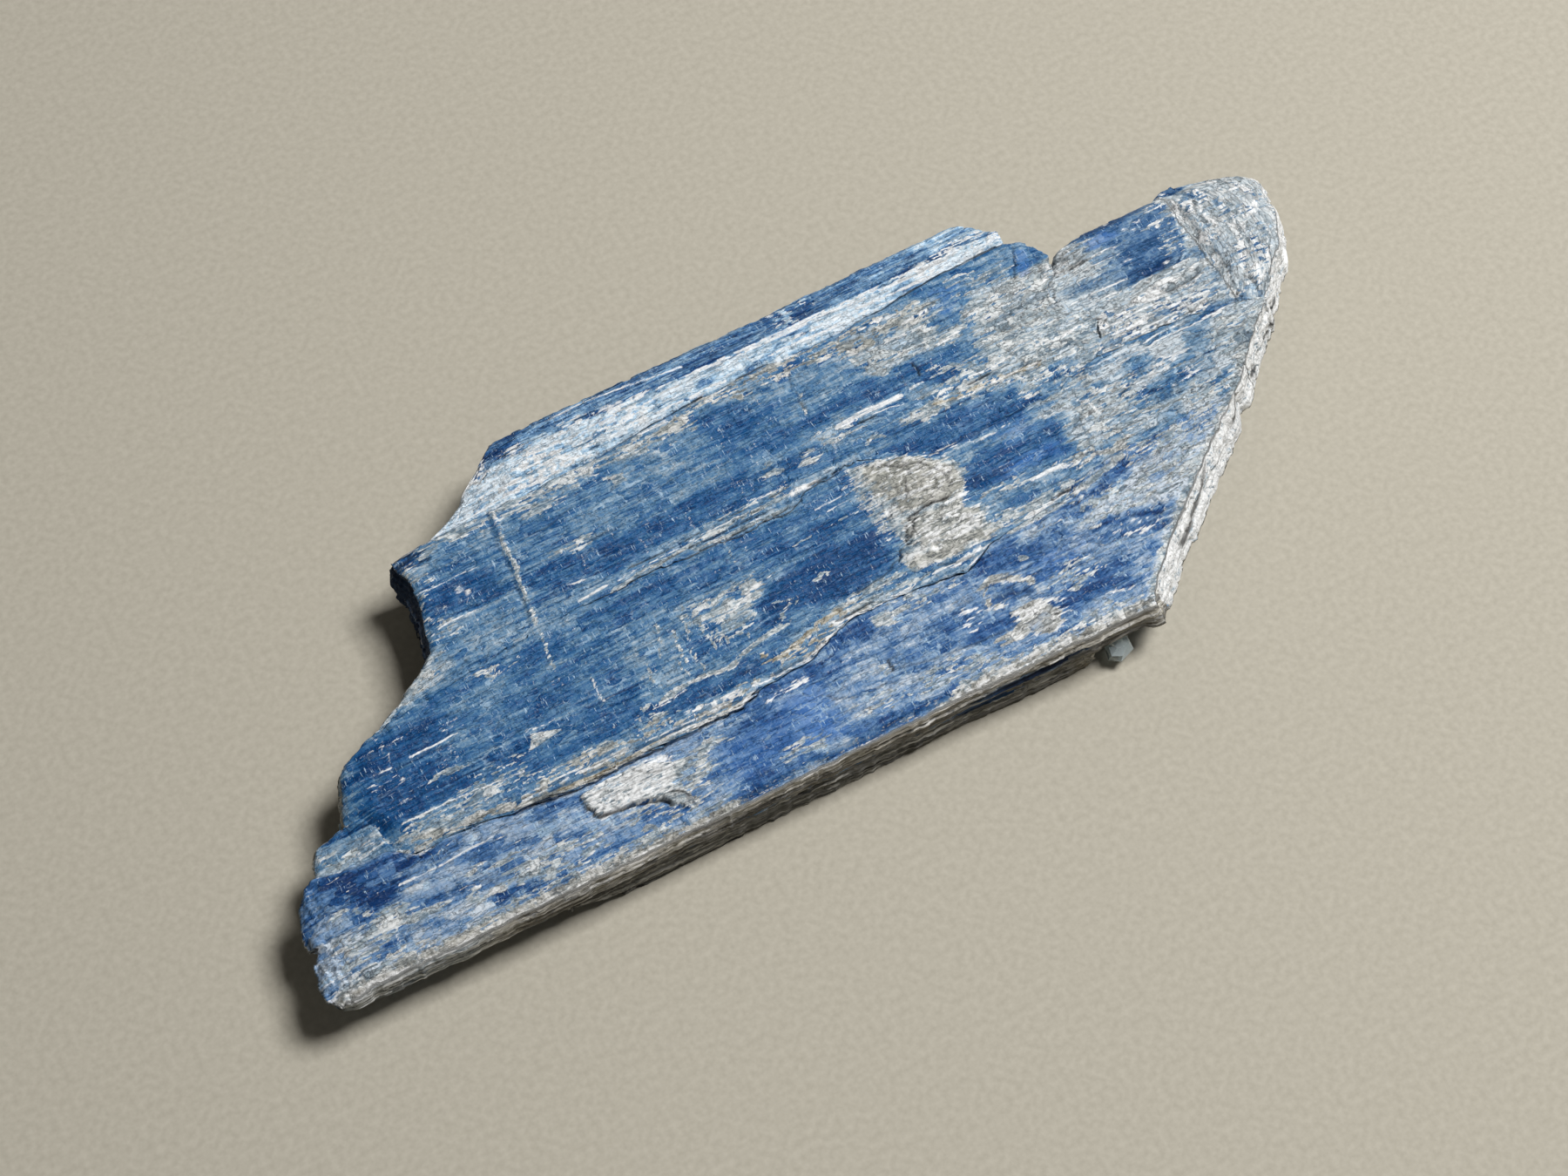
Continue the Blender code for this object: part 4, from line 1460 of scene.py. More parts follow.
@dataclass
class FrontBlade(Blade):
    """The long front blade: its long side wall shows, its right edge is broken on the slant, and a
    flake stands on its face."""

    name: str = "front_blade"
    slot: str = "pale_cleaved_kyanite"
    front: Edge = Edge((0.9, 0.75, 3, 0.8, 13, 0.65, 36, 0.6, 45, 0.4, 50.8, 0.3), 120, 0.04)
    rear: Edge = FRONT_PARTING
    left: Edge = Edge(
        (0.75, 0.9, 1.2, 0.3, 2, 0.12, 3.3, 0.4, 3.95, 0.95, 4.3, 0.45, 4.9, 0.4, 5.8, 0.7, 6.8, 1.2,
        7.3, 1.8), 123, 0.05
    )
    right: Edge = Edge(RIGHT_EDGE, 126, 0.07)
    top: float = 4.5
    depth: float = 0.46
    bed: float = 0.45
    flare: Row = (-0.05, 1.25, -0.1, -0.3)
    bulge: float = 0.3
    seams: tuple[Row, ...] = (
        (3.85, 0.06, 0.85), (3.5, 0.05, 0.9), (3.1, 0.08, 1), (2.8, 0.06, 0.95), (2.5, 0.06, 1),
    )
    marks: tuple[Mark, ...] = (
        *tones((0.36, 0, 3.2, 1.9, 3.9), (0.62, 0.3, 3.4, 4, 7.4), (0.42, 5.6, 9, 1.2, 2.7),
            (0.72, 24.4, 28.8, 0.8, 4.8)),
        *tones((0.92, 3.2, 7, 5.9, 7), lean=-0.08),
        *tones((0.95, 4, 8, 5.1, 6.1), lean=0.04),
        *tones((0.86, 4.4, 6, 4.3, 5.3)),
        *tones((0.8, 9.5, 10.3, 4.5, 5.05), (0.9, 10.3, 11.7, 4.05, 5.05), (0.74, 11.8, 12.9, 4, 5.1),
            (0.64, 12.9, 14, 4, 5.25), jag=0.3),
        *tones((0.78, 14, 16.8, 4.5, 5.35), (0.86, 24.9, 26.3, 0.8, 2.7), jag=0.5),
        *tones((0.54, 13.6, 17.2, 2.7, 4.6), (0.36, 5.8, 9.6, 4.2, 5), (0.58, 6.5, 9, 5, 5.7),
            (0.52, 8.2, 11.8, 5.3, 6.1), (0.84, 26.8, 28.8, 3.9, 4.9), (0.82, 26.9, 28.1, 2.3, 3.1)),
        *tones((0.66, 10.2, 13.2, 1.1, 2.1), jag=0.6),
        *tones((0.62, 15.6, 18.5, 1.4, 2.5), (0.62, 17, 21, 0.8, 2.3)),
        *tones((0.62, 28.9, 31.8, 1.4, 4.9), jag=0.35),
        *tones((0.5, 31.4, 35.2, 1.8, 4.8), (0.34, 31.9, 35, 1.5, 3), (0.84, 31.2, 34.5, 1.15, 1.5),
            (0.92, 24, 37.5, 0.72, 1.02), (0.85, 35.8, 37.6, 0.7, 1.1), (0.62, 36, 43, 2.9, 5),
            (0.78, 40.2, 43, 3, 3.8), (0.44, 36.2, 38.8, 1.5, 2.9), (0.56, 38.3, 41.2, 1.9, 2.7),
            (0.86, 42.3, 44.1, 4.1, 5.4), (0.68, 44.9, 48.3, 4.3, 7), (0.84, 45, 50.2, 1.8, 3.6),
            (0.12, 49, 57, 5.9, 8), (0.76, 50, 51.9, 4.9, 6.1), (0.86, 32.9, 36, 6.1, 7.1),
            (0.26, 37, 38.2, 5.9, 7), (0.52, 38.2, 41.8, 5.9, 7), (0.8, 27.3, 32.9, 4.9, 6.2),
            (0.58, 20.5, 24.5, 2, 3.4)),
        *areas(T, (0.82, 52.1, 5.2, 53, 5.8, 54.2, 5.95, 54.2, 5.3, 53.2, 5.05), (0.74, 48.2, 7.1,
            50.2, 7, 52.2, 7.3, 53.4, 8.4, 53.2, 9.2, 51.6, 9.1, 49, 8.2), (0.86, 51.6, 9.1, 52.2, 9.3,
            53.3, 9.25, 53.2, 8.6, 52, 8.7)),
        *tones((0.5, 50, 53.4, 2.2, 4), (0.52, 49.8, 52.2, 7.6, 8.7), (0.44, 53.2, 58, 8.7, 9.6),
            (0.16, 53.4, 60.5, 7, 8.7), (0.88, 42, 45.2, 5.9, 7.4), (0.36, 45.2, 48.4, 6.9, 8)),
        *clays((0.95, 1.2, 2.7, 3.5, 4), (0.75, 2.8, 6.2, 3.4, 4.1), (0.85, 1.2, 7.6, 2.9, 3.4),
            (0.85, 4.5, 7.7, 2.6, 3.1), (0.55, 1.4, 4.2, 1.9, 2.8), (0.75, 0.9, 4.2, 0.9, 1.6),
            (0.65, 4.1, 6.4, 0.9, 1.9), (0.45, 6.4, 13, 0.8, 1.4), (0.9, 8.9, 9.5, 2.5, 3.2),
            (0.95, 10.9, 12.2, 3.5, 4), (0.95, 9.4, 10.2, 3.8, 4.4), (0.6, 11.9, 16.2, 2.2, 3.2),
            (0.4, 13, 17, 0.8, 2.2), (0.35, 17, 24, 0.8, 2), (0.6, 18, 24, 2.3, 4.1),
            (0.95, 23.2, 24.9, 4.1, 4.7), (0.65, 28.4, 29.6, 1.1, 2.6), (0.35, 31.9, 36.5, 1.4, 2.8),
            (0.5, 36.2, 40, 1.3, 2.5), (0.45, 38, 42, 1, 1.8), (0.4, 45.8, 48.6, 3.2, 4.4),
            (0.5, 49.4, 57, 5.9, 7.9), (0.4, 53.4, 61, 6.9, 9.6), (0.5, 36, 41, 6.3, 7.3),
            (0.9, 44.4, 45.1, 6.1, 6.6), (0.6, 38, 51, 0.6, 1.25)),
        *clays((0.9, 34.8, 35.25, 3.5, 4.2), jag=0.3),
        *clays((0.95, 36, 37, 5.9, 6.9), jag=0.5),
        *clays((0.95, 21.3, 22.2, 1.4, 2.6), lean=-0.4),
        *clays((0.95, 9, 12.1, 2.15, 2.6), lean=-0.07),
        *flakes_and_highlights((0.55, 0.2, 2.2, 0.5, 2), (1, 8.8, 10.4, 3.1, 3.28), (0.5, 40.2, 42.3, 3.8, 4.7),
            (0.75, 42.9, 45.1, 1.6, 3.7), (0.5, 49.8, 53, 4.2, 5.1), (0.45, 28.8, 33, 4.8, 5.4),
            (0.45, 38, 51, 0.45, 1)),
        *flakes_and_highlights((0.85, 16.9, 22, 3.2, 5.2), (1, 43.05, 43.6, 5.35, 5.85), (1, 44.4, 44.85, 4.8, 5.2),
            jag=0.4),
        *blocks(Z, (0.6, 0, 15, 0.9, 7.4), (0.6, 44.9, 62, 4.2, 9.8)),
        *blocks(G, (0.45, 42.4, 43.9, 4.1, 5.2), cover=0.5),
        *blocks(V, (0.75, 28.9, 31.3, 1.5, 4.8), jag=0.35, soft=2),
        *blocks(V, (0.6, 45.6, 48.2, 4.5, 5.9), soft=2),
        *blocks(W, (0.45, 4.1, 6.4, 0.9, 1.9), (0.25, 16.6, 23.6, 1.4, 5.3), (0.6, 41.8, 45.2, 3.9, 6),
            (0.6, 41.4, 45.2, 1.4, 3.9)),
        *areas(C, (1, 42.8, 3.7, 44.6, 3.8, 45.1, 3.3, 45, 1.9, 44, 1.5, 43.1, 1.9, 41.3, 2.2, 41.2, 2.6,
            42.9, 2.8)),
        *areas(C, (1, *STANDING_FLAKE), jag=0.4),
        *areas(Z, (1, 42.8, 3.7, 44.6, 3.8, 45.1, 3.3, 45, 1.9, 44, 1.5, 43.1, 1.9)),
        *areas(L, (0.24, *STANDING_FLAKE), jag=0.4, soft=0.7),
        *areas(V, (0.35, 24.4, 1.6, 28.8, 2, 28.8, 4.4, 24.6, 4)),
        *lines(C, (0.35, 2, 4.9, 3, 5.2), cover=0.7),
        *lines(C, (0.28, 2.4, 5.4, 3.2, 5.2, 3.6, 4.8, 4.3, 4.2), cover=0.85),
        *lines(C, (0.4, 45.2, 7.9, 48.6, 8.05, 51, 8.6, 53.4, 9.2), cover=0.85, jag=0.5),
        *lines(C, (0.45, 42.1, 5.6, 42.8, 5.8, 43.6, 5.6, 44.3, 5.2, 44.9, 4.7),
            (0.3, 42, 5.6, 42.1, 4.7, 42.4, 4.1), cover=0.9),
        *lines(F, (0.16, 48, 1.9, 49.6, 1.7, 50.6, 2), cover=0.8),
        *lines(F, (0.14, 6.2, 5.05, 8.5, 5, 11.7, 5.15), cover=0.8, jag=0.3),
        *lines(F, (0.14, 46, 7.8, 48.6, 7.95, 50.6, 8.4), cover=0.8, jag=0.5),
        # The first line is a painted shadow along the standing flake's front edge.
        *lines(G, (0.13, 16.9, 4.2, 17.2, 3.45, 19.1, 3.2, 20.5, 2.7, 20.9, 2.4),
            (0.12, 21.2, 2.9, 21.9, 2.5, 22.2, 2), (0.16, 35.3, 3.6, 35.35, 4.25), jag=0.3),
        *lines(G, (0.1, 20, 4.9, 20.6, 4.4, 21.3, 4.2), jag=0.5, value=0.7),
        *lines(G, (0.1, 36, 3.5, 37.2, 3.15, 39, 2.9, 42.5, 2.8), value=0.55),
        *lines(G, (0.09, 31, 4, 32, 3.4, 33.2, 3, 34.8, 3.05), value=0.6),
        *runs(F, 0.12, 0.1, (20.4, 21.8, 3), cover=0.8, jag=0.5),
        *runs(G, 0.07, 0.1, (17.3, 20.4, 4.7), (18.2, 21.8, 4.25), (19.2, 22.4, 3.75), (20.6, 22, 3.25),
            cover=0.7, jag=0.6, value=0.5),
    )

    def level(self, x: Array, y: Array) -> Array:
        """Flat, but the left tips are worn down in a curve and the left corner sinks a little.

        Args:
            x: millimetres along the blades.
            y: millimetres across the blades.

        Returns:
            Heights in millimetres.
        """
        slab = Laths(136, 1.1, 0.6).at(x, y) + 0.5 * Laths(138, 0.5, 0.3).at(x, y)
        worn = 0.6 * (1 - rise(0.0, 2.6, x + 1.1 * (slab - 0.75)))
        worn = 0.35 * worn + 0.65 * np.round(6 * worn) / 6 + 0.25 * (1 - rise(0.6, 1.2, y))
        return self.top - worn * (1 - rise(5.0, 52.0, x) * 0.2)

    def foot(self, rim: Rim) -> Array:
        """The slab's underside rises towards its free left end."""
        return self.floor + 0.35 * (1 - rise(0.0, 6.0, rim.x))

    def dress_top(self, x: Array, y: Array, fields: Fields, place: Place) -> None:
        """White broken edge along the slanted right end.

        Args:
            x: millimetres along the blades.
            y: millimetres across the blades.
            fields: what each kind of mark has done, to change here.
            place: the same points, with their pulls.
        """
        rim = rise(0.55, 0.1, y - self.front.at(x, False) + 0.4 * (place.torn - 0.5))
        rim *= 0.9 - 0.5 * rise(23.0, 25.0, x) * rise(38.0, 36.0, x)
        shed = np.maximum(rise(0.55, 0.8, place.torn), 0.95 * rise(24.0, 18.0, x))
        fields.at_least(C, rim)
        fields.at_least(W, 0.85 * rim)
        fields.at_least(F, 0.75 * rim * shed)
        past = x - self.right.at(y, False)
        edge = rise(-0.9, -0.1, past + 0.5 * (place.torn - 0.5))
        fields.at_least(C, 0.9 * edge)
        fields.values[T] -= 0.5 * edge

    def dress_wall(self, rim: Rim, x: Array, y: Array, z: Array, fields: Fields) -> None:
        """Along the front: tan clay above and dark stain below, paler to the left, with white flakes over
        the upper wall that are partly painted light, since this wall gets little of the lamp. On the
        slanted right end: white broken laminae with dark gaps.

        Args:
            rim: the loop round the top.
            x: millimetres along the blades.
            y: millimetres across the blades.
            z: height.
            fields: what each kind of mark has done, to change here.
        """
        values = fields.values
        front = (y < 1.6) & (x < 51.2)
        right = (x > 50.8) & (y > 0.5)
        wave = 0.25 * (Grain(131, 4.0, 1.0).at(x, 0 * x) - 0.5)
        low = rise(3.2, 2.7, z + wave) * rise(10.0, 24.0, x)
        left = 1 - rise(7.0, 11.0, x)
        values[W][front] = (0.95 - 0.5 * left)[front]
        values[T][front] = 0.25
        values[C][front] = 1.0
        values[G][front] = np.maximum(0.4 * values[G], 0.5 * low)[front]
        # White on the upper front wall: partly its pale top band, partly painted light where the lamp
        # barely reaches this wall.
        high = (0.2 + 0.4 * left) * rise(3.3, 3.8, z + wave)
        values[F][front] = np.maximum(0.3 * values[F], high)[front]
        for index, (level, width, value) in enumerate(self.seams):
            seam = np.exp(-(((z - level - 1.2 * wave) / width) ** 2))
            seam *= value * rise(0.3, 0.55, Grain(135 + index, 4.5, 1.0).at(x, 0 * x))
            values[G][front] = np.maximum(values[G], seam)[front]
        along, up = (x - 42.5) / 4.2, (z - 3.0 - 0.03 * (x - 42.5) - wave) / 0.42
        lens = np.exp(-(along**4) - up**4)
        values[T][front] += (0.7 * lens)[front]
        values[C][front] *= (1 - 0.9 * lens)[front]
        values[W][front] *= (1 - 0.8 * lens)[front]
        values[F][front] *= (1 - lens)[front]
        values[G][front] = np.maximum(values[G], 0.85 * lens)[front]
        whiten(values, right, x, z)


@dataclass
class CornerBlade(Blade):
    """The small broken blade that lies lower in the notch at the left."""

    name: str = "corner_blade"
    slot: str = "deep_kyanite"
    front: Edge = FRONT_PARTING
    rear: Edge = Edge((2.6, 8.3, 2.9, 8.8, 3.25, 9.25, 4.2, 9.4, 5.1, 9.6), 140, 0.05)
    left: Edge = Edge((7.6, 2.4, 8.3, 2.7, 8.8, 2.95, 9.3, 3.3), 143, 0.06)
    right: Edge = CORNER_LIP
    top: float = 4.1
    depth: float = 0.55
    flare: Row = (0.0, 0.0, 0.2, 0.15)
    marks: tuple[Mark, ...] = (
        *tones((0.6, 3.2, 5.2, 8, 9.3)),
        *clays((0.9, 3.5, 4.7, 7.5, 8.3), (0.6, 2.4, 3.2, 7.8, 9)),
        *flakes_and_highlights((0.6, 4.8, 6, 7.4, 8.4)),
        *blocks(Z, (0.6, 2.4, 7, 7, 9.8)),
        *blocks(G, (0.8, 4.6, 5.4, 8, 8.8), cover=0.5),
        *lines(F, (0.1, 3.4, 7.45, 5, 7.3)),
    )


@dataclass
class MiddleBlade(Blade):
    """The broad blade: a rounded glassy left end, a cream lip over the front blade, and a crumbly
    patch where it turns pale."""

    name: str = "middle_blade"
    slot: str = "deep_kyanite"
    front: Edge = FRONT_PARTING
    rear: Edge = MIDDLE_PARTING
    left: Edge = Edge(
        (6.05, 8.2, 7.05, 6.3, 7.6, 6.05, 8.6, 5.9, 9.6, 5.1, 10.4, 5.3, 11.5, 5.75, 12.3, 6.1,
        12.75, 6.6, 13.1, 7.4), 150, 0.03, parting=(6.2, 0, 9.2, 0, 9.8, 0.5, 10.3, 1), height=4.18,
        depth=0.55
    )
    right: Edge = Edge(RIGHT_EDGE, 126, 0.07)
    top: float = 4.8
    cell_across: float = 0.064
    depth: float = 0.68
    flare: Row = (-0.05, 1.0, -0.1, 0.45)
    marks: tuple[Mark, ...] = (
        *tones((0.94, 6.2, 12.4, 8.1, 13.2), (0.6, 5, 6.3, 9.4, 12.6)),
        *tones((0.84, 8.4, 20, 12.9, 14), lean=0.06),
        *tones((0.7, 12.2, 17, 9.6, 13.4), (0.86, 13, 15.9, 8, 9.6), (0.74, 16.8, 25.2, 8, 13),
            (0.84, 17, 22.4, 8.8, 9.9), (0.9, 19, 22.4, 8, 8.9), (0.8, 22, 30, 13, 14.6),
            (0.86, 14.4, 22.6, 7.2, 8), (0.6, 6.2, 9.6, 6.4, 8.1), (0.6, 12.2, 13.6, 6.4, 6.8),
            (0.56, 13.4, 28, 5.7, 6.6), (0.86, 22.5, 31, 6.9, 7.8), (0.74, 28, 31.4, 7.8, 8.5)),
        *tones((0.54, 22.6, 25.2, 8, 9.7), jag=0.3),
        *tones((0.76, 26.1, 28, 8.3, 10.1), jag=0.4),
        *tones((0.6, 22.4, 26.8, 9.8, 13), (0.34, 28.4, 32.2, 10, 11.3)),
        *areas(T, (1.02, 30.1, 9.5, 30.8, 10.5, 32, 11, 33, 11.5, 34.5, 11.9, 37, 12, 38.8, 12.1,
            39.2, 11.4, 38.9, 10.2, 38.2, 9.2, 36, 8.9, 33, 9, 31, 9.1), jag=1.4, soft=5),
        *tones((0.8, 32, 39, 12, 13.6), (0.72, 30, 37.5, 13.6, 14.9), (0.82, 41.4, 42.8, 10.9, 11.5),
            (0.6, 44.7, 51.4, 12.9, 14)),
        *areas(T, (0.9, 44.6, 12.6, 46, 13, 51.2, 13.3, 51.3, 10.9, 49.6, 10.8, 45.4, 10.9, 44.4, 11.2),
            jag=0.4),
        *tones((0.64, 47.7, 49.6, 11, 11.7), soft=2.5),
        *tones((0.42, 48.2, 49.7, 12.6, 13.5), soft=3),
        *lines(T, (0.14, 46, 12.4, 48, 12.5, 49.3, 12.2, 49.95, 11.5, 49.7, 11), value=1),
        # Painted shadow: a deep blue band where the upper blade's step would shade this blade.
        *tones((0.98, 43.4, 51.4, 14.1, 14.6), jag=0.15),
        *tones((0.6, 44.8, 47.9, 9.1, 10.2), (0.48, 47.9, 50.2, 9.3, 10), (0.92, 49, 50.8, 8.4, 9),
            (0.24, 51.3, 63, 9.8, 15.2)),
        *areas(T, (0.56, 56.2, 11.6, 56.8, 12.6, 58.4, 12.7, 60.6, 12.9, 62, 12.9, 60, 11.8, 59, 11.2,
            57.2, 10.9), (0.56, 55.2, 13, 56.4, 14.1, 58.6, 14.2, 58, 13.3, 56.4, 12.9), (0.52, 60, 13.1,
            60.2, 14.2, 61.8, 14.2, 62.4, 13.2, 61, 12.9)),
        *tones((0.22, 56, 63, 10, 11), (0.12, 62.4, 67, 10.4, 14.4)),
        *clays((0.8, 14.9, 16, 13.7, 14.1), (0.9, 15.1, 15.7, 13.1, 13.5), (0.35, 12, 15.2, 7.7, 8.9),
            (0.5, 7.4, 15.2, 7, 7.95), (0.7, 8.3, 13, 6.5, 7), (0.5, 13.5, 28.5, 6, 6.6),
            (0.95, 22.2, 23.4, 6.5, 7.4), (0.6, 16, 19.5, 6.4, 7.2), (0.5, 29.5, 34, 6.4, 7.6),
            (0.45, 34, 39.2, 7.5, 8.6), (0.7, 45, 48.4, 10.2, 10.85), (0.95, 51.3, 54.6, 9.6, 10),
            (0.6, 50.2, 53.2, 10, 10.6), (0.75, 44.8, 51.5, 8.2, 9.1), (0.5, 51.4, 56.6, 10.4, 14.8),
            (0.8, 52.6, 54.1, 11.8, 12.9), (0.45, 56, 64, 10, 11.2), (0.8, 62.6, 67, 10.6, 14.6)),
        *clays((0.95, 33.95, 34.65, 10.4, 10.75), jag=0.5),
        *flakes_and_highlights((0.8, 8.1, 8.7, 10.2, 10.9), (0.7, 11.3, 12.2, 12, 12.3), (0.5, 15.6, 16.6, 9.5, 9.8),
            (0.65, 24.3, 26.8, 6.1, 6.6), (0.35, 39.6, 44.2, 11.8, 15.2), (0.42, 40.6, 44.6, 8.4, 11),
            (0.55, 44.6, 48.5, 13.75, 14.05), (0.95, 58.1, 60, 12.85, 13.4)),
        *flakes_and_highlights((0.8, 8.3, 8.8, 9.1, 9.3), jag=0.3),
        *flakes_and_highlights((1, 48.1, 50.4, 10, 10.32), jag=0.4),
        *blocks(Z, (0.85, 51.2, 66, 9.6, 15.4)),
        *blocks(V, (0.8, 47.6, 49.9, 11, 11.8), soft=2.5),
        *blocks(V, (0.6, 48, 49.9, 12.5, 13.7), soft=3),
        *blocks(W, (0.5, 8, 28, 5.5, 6.9), (0.9, 29.5, 35, 6.4, 8.2), (0.6, 39.2, 44.8, 8.1, 9),
            (0.35, 51.3, 54.6, 9.6, 10)),
        *areas(C, (1, 10.2, 9.35, 10.9, 9.85, 12.2, 9.85, 12.5, 9.55, 11.2, 9.5)),
        *areas(C, (0.85, 27, 12.2, 31.4, 12.3, 31.9, 11.5, 30.4, 10.2, 29.2, 9.2, 28.2, 9.3, 28.2, 10.6,
            26.8, 10.9), cover=0.65),
        *areas(C, (1, 15.6, 8.6, 16.1, 9.4, 16.7, 9.3, 17.8, 8.9, 16.6, 8.75), jag=0.3),
        *areas(C, (1, 39, 15.6, 41, 15.4, 42.5, 14.7, 43.6, 13.9, 44.4, 13.2, 44.8, 12.3, 44.3, 11.3,
            43.6, 10.5, 44.9, 10, 44.5, 9.2, 45.2, 8.3, 42.5, 7.9, 39.2, 8.2, 39, 9.1, 39.8, 10.2,
            39.5, 11.5, 39.6, 13), jag=0.3, soft=5),
        *areas(C, (0.6, 38.6, 15.4, 39.8, 15.4, 40, 11.4, 39.4, 10.6, 38.6, 11.6, 38.4, 13), soft=7),
        *areas(Z, (0.6, 39.6, 15.4, 42.4, 14.6, 43.6, 13.9, 44.7, 12.4, 44.2, 11.6, 41.2, 11.5,
            39.6, 12.4)),
        *areas(L, (0.12, 40.6, 11, 44.2, 11.2, 44.6, 9.2, 42.4, 8.4, 39.8, 8.7), soft=7),
        *areas(L, (0.22, 39.2, 15.3, 42.4, 14.6, 44.6, 12.9, 44, 11.7, 41.4, 11.7, 39.7, 12.6), soft=9),
        *areas(W, (0.65, 39.4, 15.4, 42, 14.9, 43.8, 13.8, 44.8, 12.4, 44.2, 11.4, 40.6, 11.7),
            (0.55, 40.4, 11.1, 44.5, 11.4, 44.4, 9, 40.4, 9.2)),
        *lines(C, (0.3, 13.4, 5.95, 15, 5.78, 18, 5.6, 22, 5.6, 25, 5.6, 27, 5.65)),
        *lines(C, (0.1, 34, 12.9, 36.6, 12.95), cover=0.6),
        *lines(C, (0.4, 30, 7, 33, 7.75, 34, 8.1, 35.5, 8.5, 38.6, 8.6), cover=0.75),
        *lines(C, (0.2, 6.3, 7.2, 7.4, 6.5), (0.2, 31.3, 8.8, 31.8, 9.4, 32.3, 9.9),
            (0.13, 31.6, 10.1, 32.2, 10, 32.6, 9.4), (0.14, 37, 13, 38.9, 12.95), cover=0.8),
        *lines(C, (0.16, 19.4, 15.3, 19.15, 14, 18.9, 12.3), (0.12, 26.1, 9.9, 26.15, 8.2),
            (0.12, 25.2, 9.6, 25.25, 8.2), (0.1, 30.9, 14.9, 30.8, 13.4), cover=0.8, jag=0.3),
        *lines(C, (0.09, 14.9, 14, 16.2, 13.75, 17.5, 13.75, 17.55, 14.5), cover=0.8, jag=0.4),
        *lines(C, (0.35, 5.2, 9.6, 5.6, 9, 5.75, 8.6), cover=0.8, jag=0.5),
        *lines(C, (0.32, 22.2, 7.8, 24, 8, 25.5, 8.1, 27.5, 7.85, 28.6, 8.2),
            (0.7, 43, 13.8, 44.2, 13.4, 44.9, 12.6), cover=0.85),
        *lines(C, (0.3, 28.4, 8.2, 29.7, 8.5, 31.3, 8.75), (0.18, 27.6, 12.05, 29, 12.1, 31.3, 12.05),
            cover=0.9),
        *lines(C, (0.5, 8, 6.5, 10, 6.75, 12.2, 6.4, 13.4, 6.2), cover=0.9, jag=0.6),
        *lines(F, (0.08, 15.9, 9.6, 17.6, 9.55), (0.2, 13.8, 6.1, 17, 6.15, 20.5, 6.15),
            (0.3, 28.6, 10.7, 29.8, 11, 31, 11.5, 31.9, 11.7), cover=0.6),
        *lines(F, (0.07, 12.1, 12.2, 12, 11, 12.2, 9.6), cover=0.6, jag=0.4),
        *lines(F, (0.12, 5.4, 9.3, 7, 9.15), (0.1, 22.7, 7.6, 24.6, 7.8), (0.16, 25, 8, 27.5, 7.8),
            cover=0.7),
        *lines(F, (0.12, 39.3, 14.4, 40, 13.4, 40, 12.4, 39.4, 11.6),
            (0.14, 42.9, 11, 43.2, 10.2, 43, 9.6), cover=0.7, jag=0.5),
        *lines(F, (0.12, 8, 8, 10.5, 7.95, 13, 7.8, 15, 7.7), cover=0.75),
        *lines(F, (0.3, 40.3, 7.6, 41.6, 7.5, 43.2, 7.75), cover=0.75, jag=0.6),
        *lines(F, (0.1, 8.65, 13.4, 8.7, 12.6, 8.5, 11.9), (0.09, 7, 12.5, 8.2, 12.6, 10.3, 12.75),
            (0.28, 28, 6.2, 30.5, 6.15, 31.8, 6.2, 33, 6.9, 34.2, 7.15), (0.1, 36.3, 14.3, 38.4, 14.3),
            (0.1, 36.2, 13.85, 38.7, 13.9), cover=0.8),
        *lines(F, (0.1, 15.8, 8.7, 16.2, 9.3, 16.6, 9.3), (0.08, 19.45, 15.3, 19.2, 14.2),
            (0.1, 31.7, 15, 31.75, 13.8), cover=0.8, jag=0.3),
        *lines(F, (0.12, 8, 11.3, 9, 11.3), (0.08, 20.8, 14.9, 21, 14),
            (0.08, 8.9, 13.6, 8.7, 12.7, 8.7, 11.5), cover=0.8, jag=0.4),
        *lines(F, (0.15, 9.4, 11.3, 10.6, 11.35, 12.7, 11.45), (0.3, 43.1, 11.15, 44.4, 11.1),
            (0.12, 56.4, 12.9, 58.6, 11.6, 60.4, 11.9), (0.12, 52.2, 14.2, 53.4, 13.2, 53.8, 12),
            cover=0.8, jag=0.5),
        *lines(F, (0.16, 41, 9.4, 41.9, 9, 42.9, 9.3, 44.3, 9), cover=0.8, jag=0.6),
        *lines(F, (0.35, 33.6, 7.5, 35, 7.35, 38.3, 7.35), cover=0.85),
        *lines(F, (0.14, 40.6, 15, 41.1, 14.4, 41.8, 13.9, 41.5, 13.5, 41.2, 12.9),
            (0.14, 42.3, 14.6, 43.2, 14.1, 43.9, 13.2, 44.2, 12.3), cover=0.85, jag=0.5),
        *lines(F, (0.32, 46.6, 8.2, 48, 8.4, 49.3, 8.55), cover=0.9),
        *lines(F, (0.14, 20.5, 10.9, 20.4, 10.3, 20.45, 9.3), jag=0.3),
        *lines(F, (0.1, 46.2, 11.75, 47.5, 11.75), jag=0.3, value=0.8),
        *lines(F, (0.2, 22.6, 5.75, 24.5, 5.62, 26, 5.6), jag=0.4),
        *lines(F, (0.08, 14.7, 10.7, 14.7, 9.9), value=0.6),
        *lines(F, (0.09, 6.7, 11.3, 8, 11.35), (0.08, 7, 9.15, 9, 9.15), (0.08, 11.9, 11.6, 11.8, 10.4),
            value=0.7),
        *lines(F, (0.08, 8.5, 10.3, 8.5, 9.3), (0.08, 10.6, 11.1, 10.8, 10.4),
            (0.08, 11.1, 11.1, 11.25, 10.2, 11.6, 9.8), value=0.8),
        *lines(G, (0.16, 38.9, 9.2, 39.9, 10, 40.6, 10.9, 41.2, 11.3, 42, 11.55, 43.3, 11.5)),
        # Painted shadow: a dark line under the upper blade's step, beside the deep band.
        *lines(G, (0.12, 43.6, 14.3, 47, 14.28, 51.4, 14.42), cover=0.7, jag=0.3, value=0.4),
